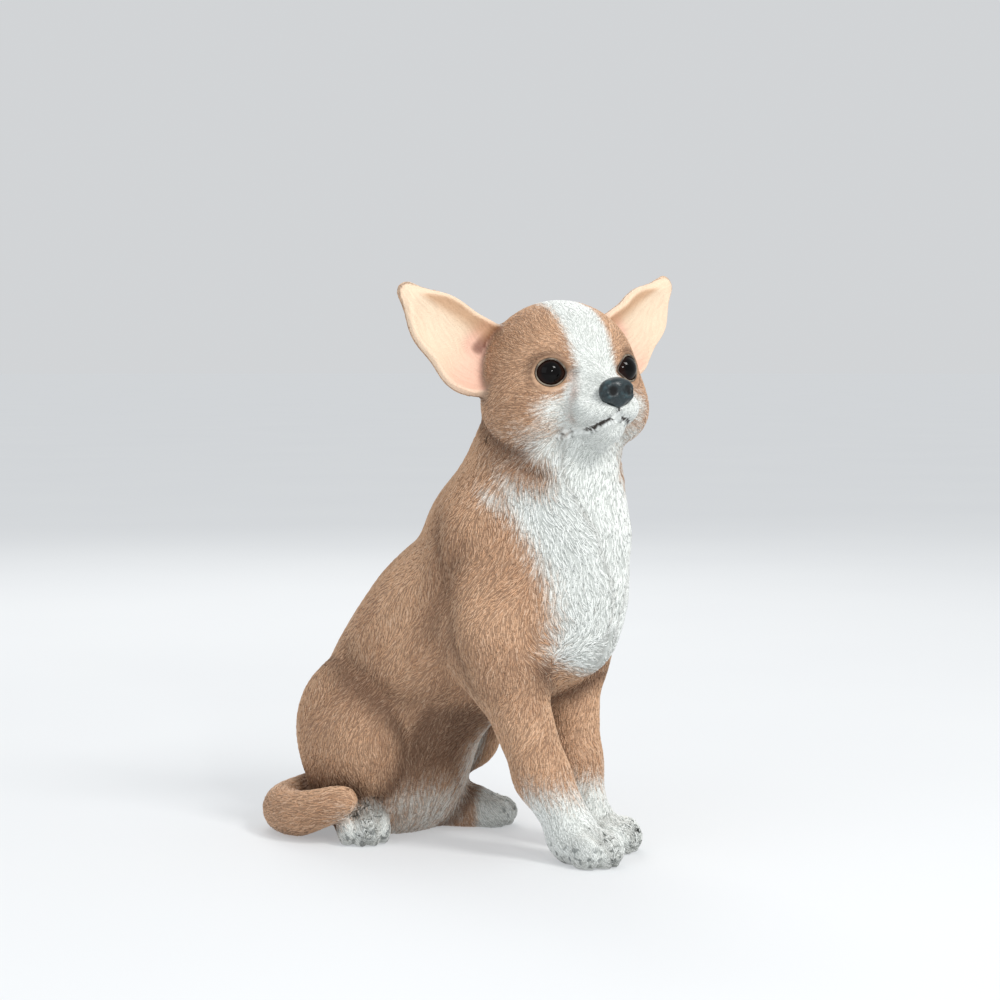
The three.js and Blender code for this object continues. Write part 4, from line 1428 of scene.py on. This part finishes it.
# %% Lid edge
LID = screen(132, 120, 104)
LID_LOW = screen(72, 62, 54)
lid_paint, tree, shader = finish("lid_edge")
place = Wire.node(tree, "TexCoord", {}, {}, "Object")
mottle = noise(tree, place, 240.0, 2.0)
feed(tree, shader, Base_Color=mix(tree, mottle.ramp(0.4, 0.65), LID, LID_LOW), Roughness=0.4 + mottle * 0.2,
     Normal=Wire.node(tree, "Bump", {}, {"Strength": 0.3, "Distance": 0.0002, "Height": mottle}))
for piece in lids:
    piece.data.materials.append(lid_paint)
print("nodes in the lid edge:", len(tree.nodes))

# %% Nose paint
NOSE = screen(20, 30, 34)
NOSE_LIGHT = screen(62, 92, 98)
NOSTRIL = screen(5, 6, 7)
nose_paint, tree, shader = finish("nose_paint")
place = Wire.node(tree, "TexCoord", {}, {}, "Object")
pebbles = Wire.node(tree, "TexVoronoi", {}, {"Vector": place, "Scale": 1250.0}, "Distance")
worn = noise(tree, place, 260.0, 3.0).ramp(0.5, 0.7)
nose_colour = mix(tree, worn * 0.35 + pebbles * 0.15, NOSE, NOSE_LIGHT)
hole = read(tree, "hole")
nose_colour = mix(tree, hole, nose_colour, NOSTRIL)
pebbled = Wire.node(tree, "Bump", {"invert": True}, {"Strength": 0.4, "Distance": 0.0003, "Height": pebbles})
feed(tree, shader, Base_Color=nose_colour, Roughness=0.30 + worn * 0.2 + hole * 0.6, Normal=pebbled)
nose.data.materials.append(nose_paint)
print("nodes in the nose paint:", len(tree.nodes))

# %% [markdown]
# ## The studio
# A wide pale floor stands in for paper under soft studio light. It glows a little, so that it meets
# the grey of the world without a hard horizon. The camera has a long lens and looks from the same
# side as the photograph, a little above level. The plain view transform shows colours as painted.

# %% Floor
FLOOR_RADIUS = 40.0
FLOOR_GLOW = (0.325, 0.33, 0.336, 1)


def make_floor():
    bm = bmesh.new()
    bmesh.ops.create_circle(bm, cap_ends=True, segments=96, radius=FLOOR_RADIUS)
    mesh = bpy.data.meshes.new("floor")
    bm.to_mesh(mesh)
    bm.free()
    floor = new_object("floor", mesh)
    matte, tree, shader = finish("pale_floor")
    place = Wire.node(tree, "TexCoord", {}, {}, "Object")
    cloud = noise(tree, place, 3.0)
    feed(tree, shader, Base_Color=mix(tree, cloud, screen(184, 186, 188), screen(189, 191, 192)),
         Roughness=0.75 + cloud * 0.1)
    shader.inputs["Emission Color"].default_value = FLOOR_GLOW
    shader.inputs["Specular IOR Level"].default_value = 0.0
    shader.inputs["Emission Strength"].default_value = 1.0
    mesh.materials.append(matte)
    print("floor of", len(mesh.vertices), "corners")


make_floor()

# %% Camera
CAMERA_TURN = -54.0
CAMERA_PITCH = 3.4
CAMERA_DISTANCE = 1112.0
LENS = 85.0
SENSOR = 36.0
LOOK_AT = np.array([-43.6, 30.0, 174.0])
camera = bpy.data.objects.new("camera", bpy.data.cameras.new("camera"))
bpy.context.scene.collection.objects.link(camera)
camera.data.lens = LENS
camera.data.sensor_width = SENSOR
turn = math.radians(CAMERA_TURN)
pitch = math.radians(CAMERA_PITCH)
back = Vector((math.sin(turn) * math.cos(pitch), -math.cos(turn) * math.cos(pitch), math.sin(pitch)))
camera.location = Vector(to_world(LOOK_AT)) + back * CAMERA_DISTANCE * MM
camera.rotation_euler = (-back).to_track_quat("-Z", "Y").to_euler()
bpy.context.scene.camera = camera
print("camera at", np.round(camera.location, 2), "m")


# %% Lamps and world
AIM = Vector((0, 0, 0.13))


def soft_light(name, place, size, power, colour=(1, 1, 1)):
    lamp = bpy.data.lights.new(name, "AREA")
    lamp.size = size
    lamp.energy = power
    lamp.color = colour
    made = bpy.data.objects.new(name, lamp)
    bpy.context.scene.collection.objects.link(made)
    made.location = place
    made.rotation_euler = (AIM - Vector(place)).to_track_quat("-Z", "Y").to_euler()


soft_light("key", (-0.25, -1.3, 1.35), 0.42, 17, (1.0, 0.985, 0.96))
soft_light("catch", (-0.67, -1.0, 0.6), 0.09, 2.2)
soft_light("fill", (-1.6, 0.1, 0.9), 1.2, 4, (0.95, 0.97, 1.0))
soft_light("rim", (0.9, 1.0, 1.2), 0.8, 8, (1.0, 0.98, 0.95))
world = bpy.data.worlds.new("studio")
world.use_nodes = True
background = world.node_tree.nodes["Background"]
background.inputs["Color"].default_value = (0.86, 0.88, 0.9, 1)
background.inputs["Strength"].default_value = 0.75
bpy.context.scene.view_settings.view_transform = "Standard"
bpy.context.scene.world = world
print("lamps:", len(bpy.data.lights))
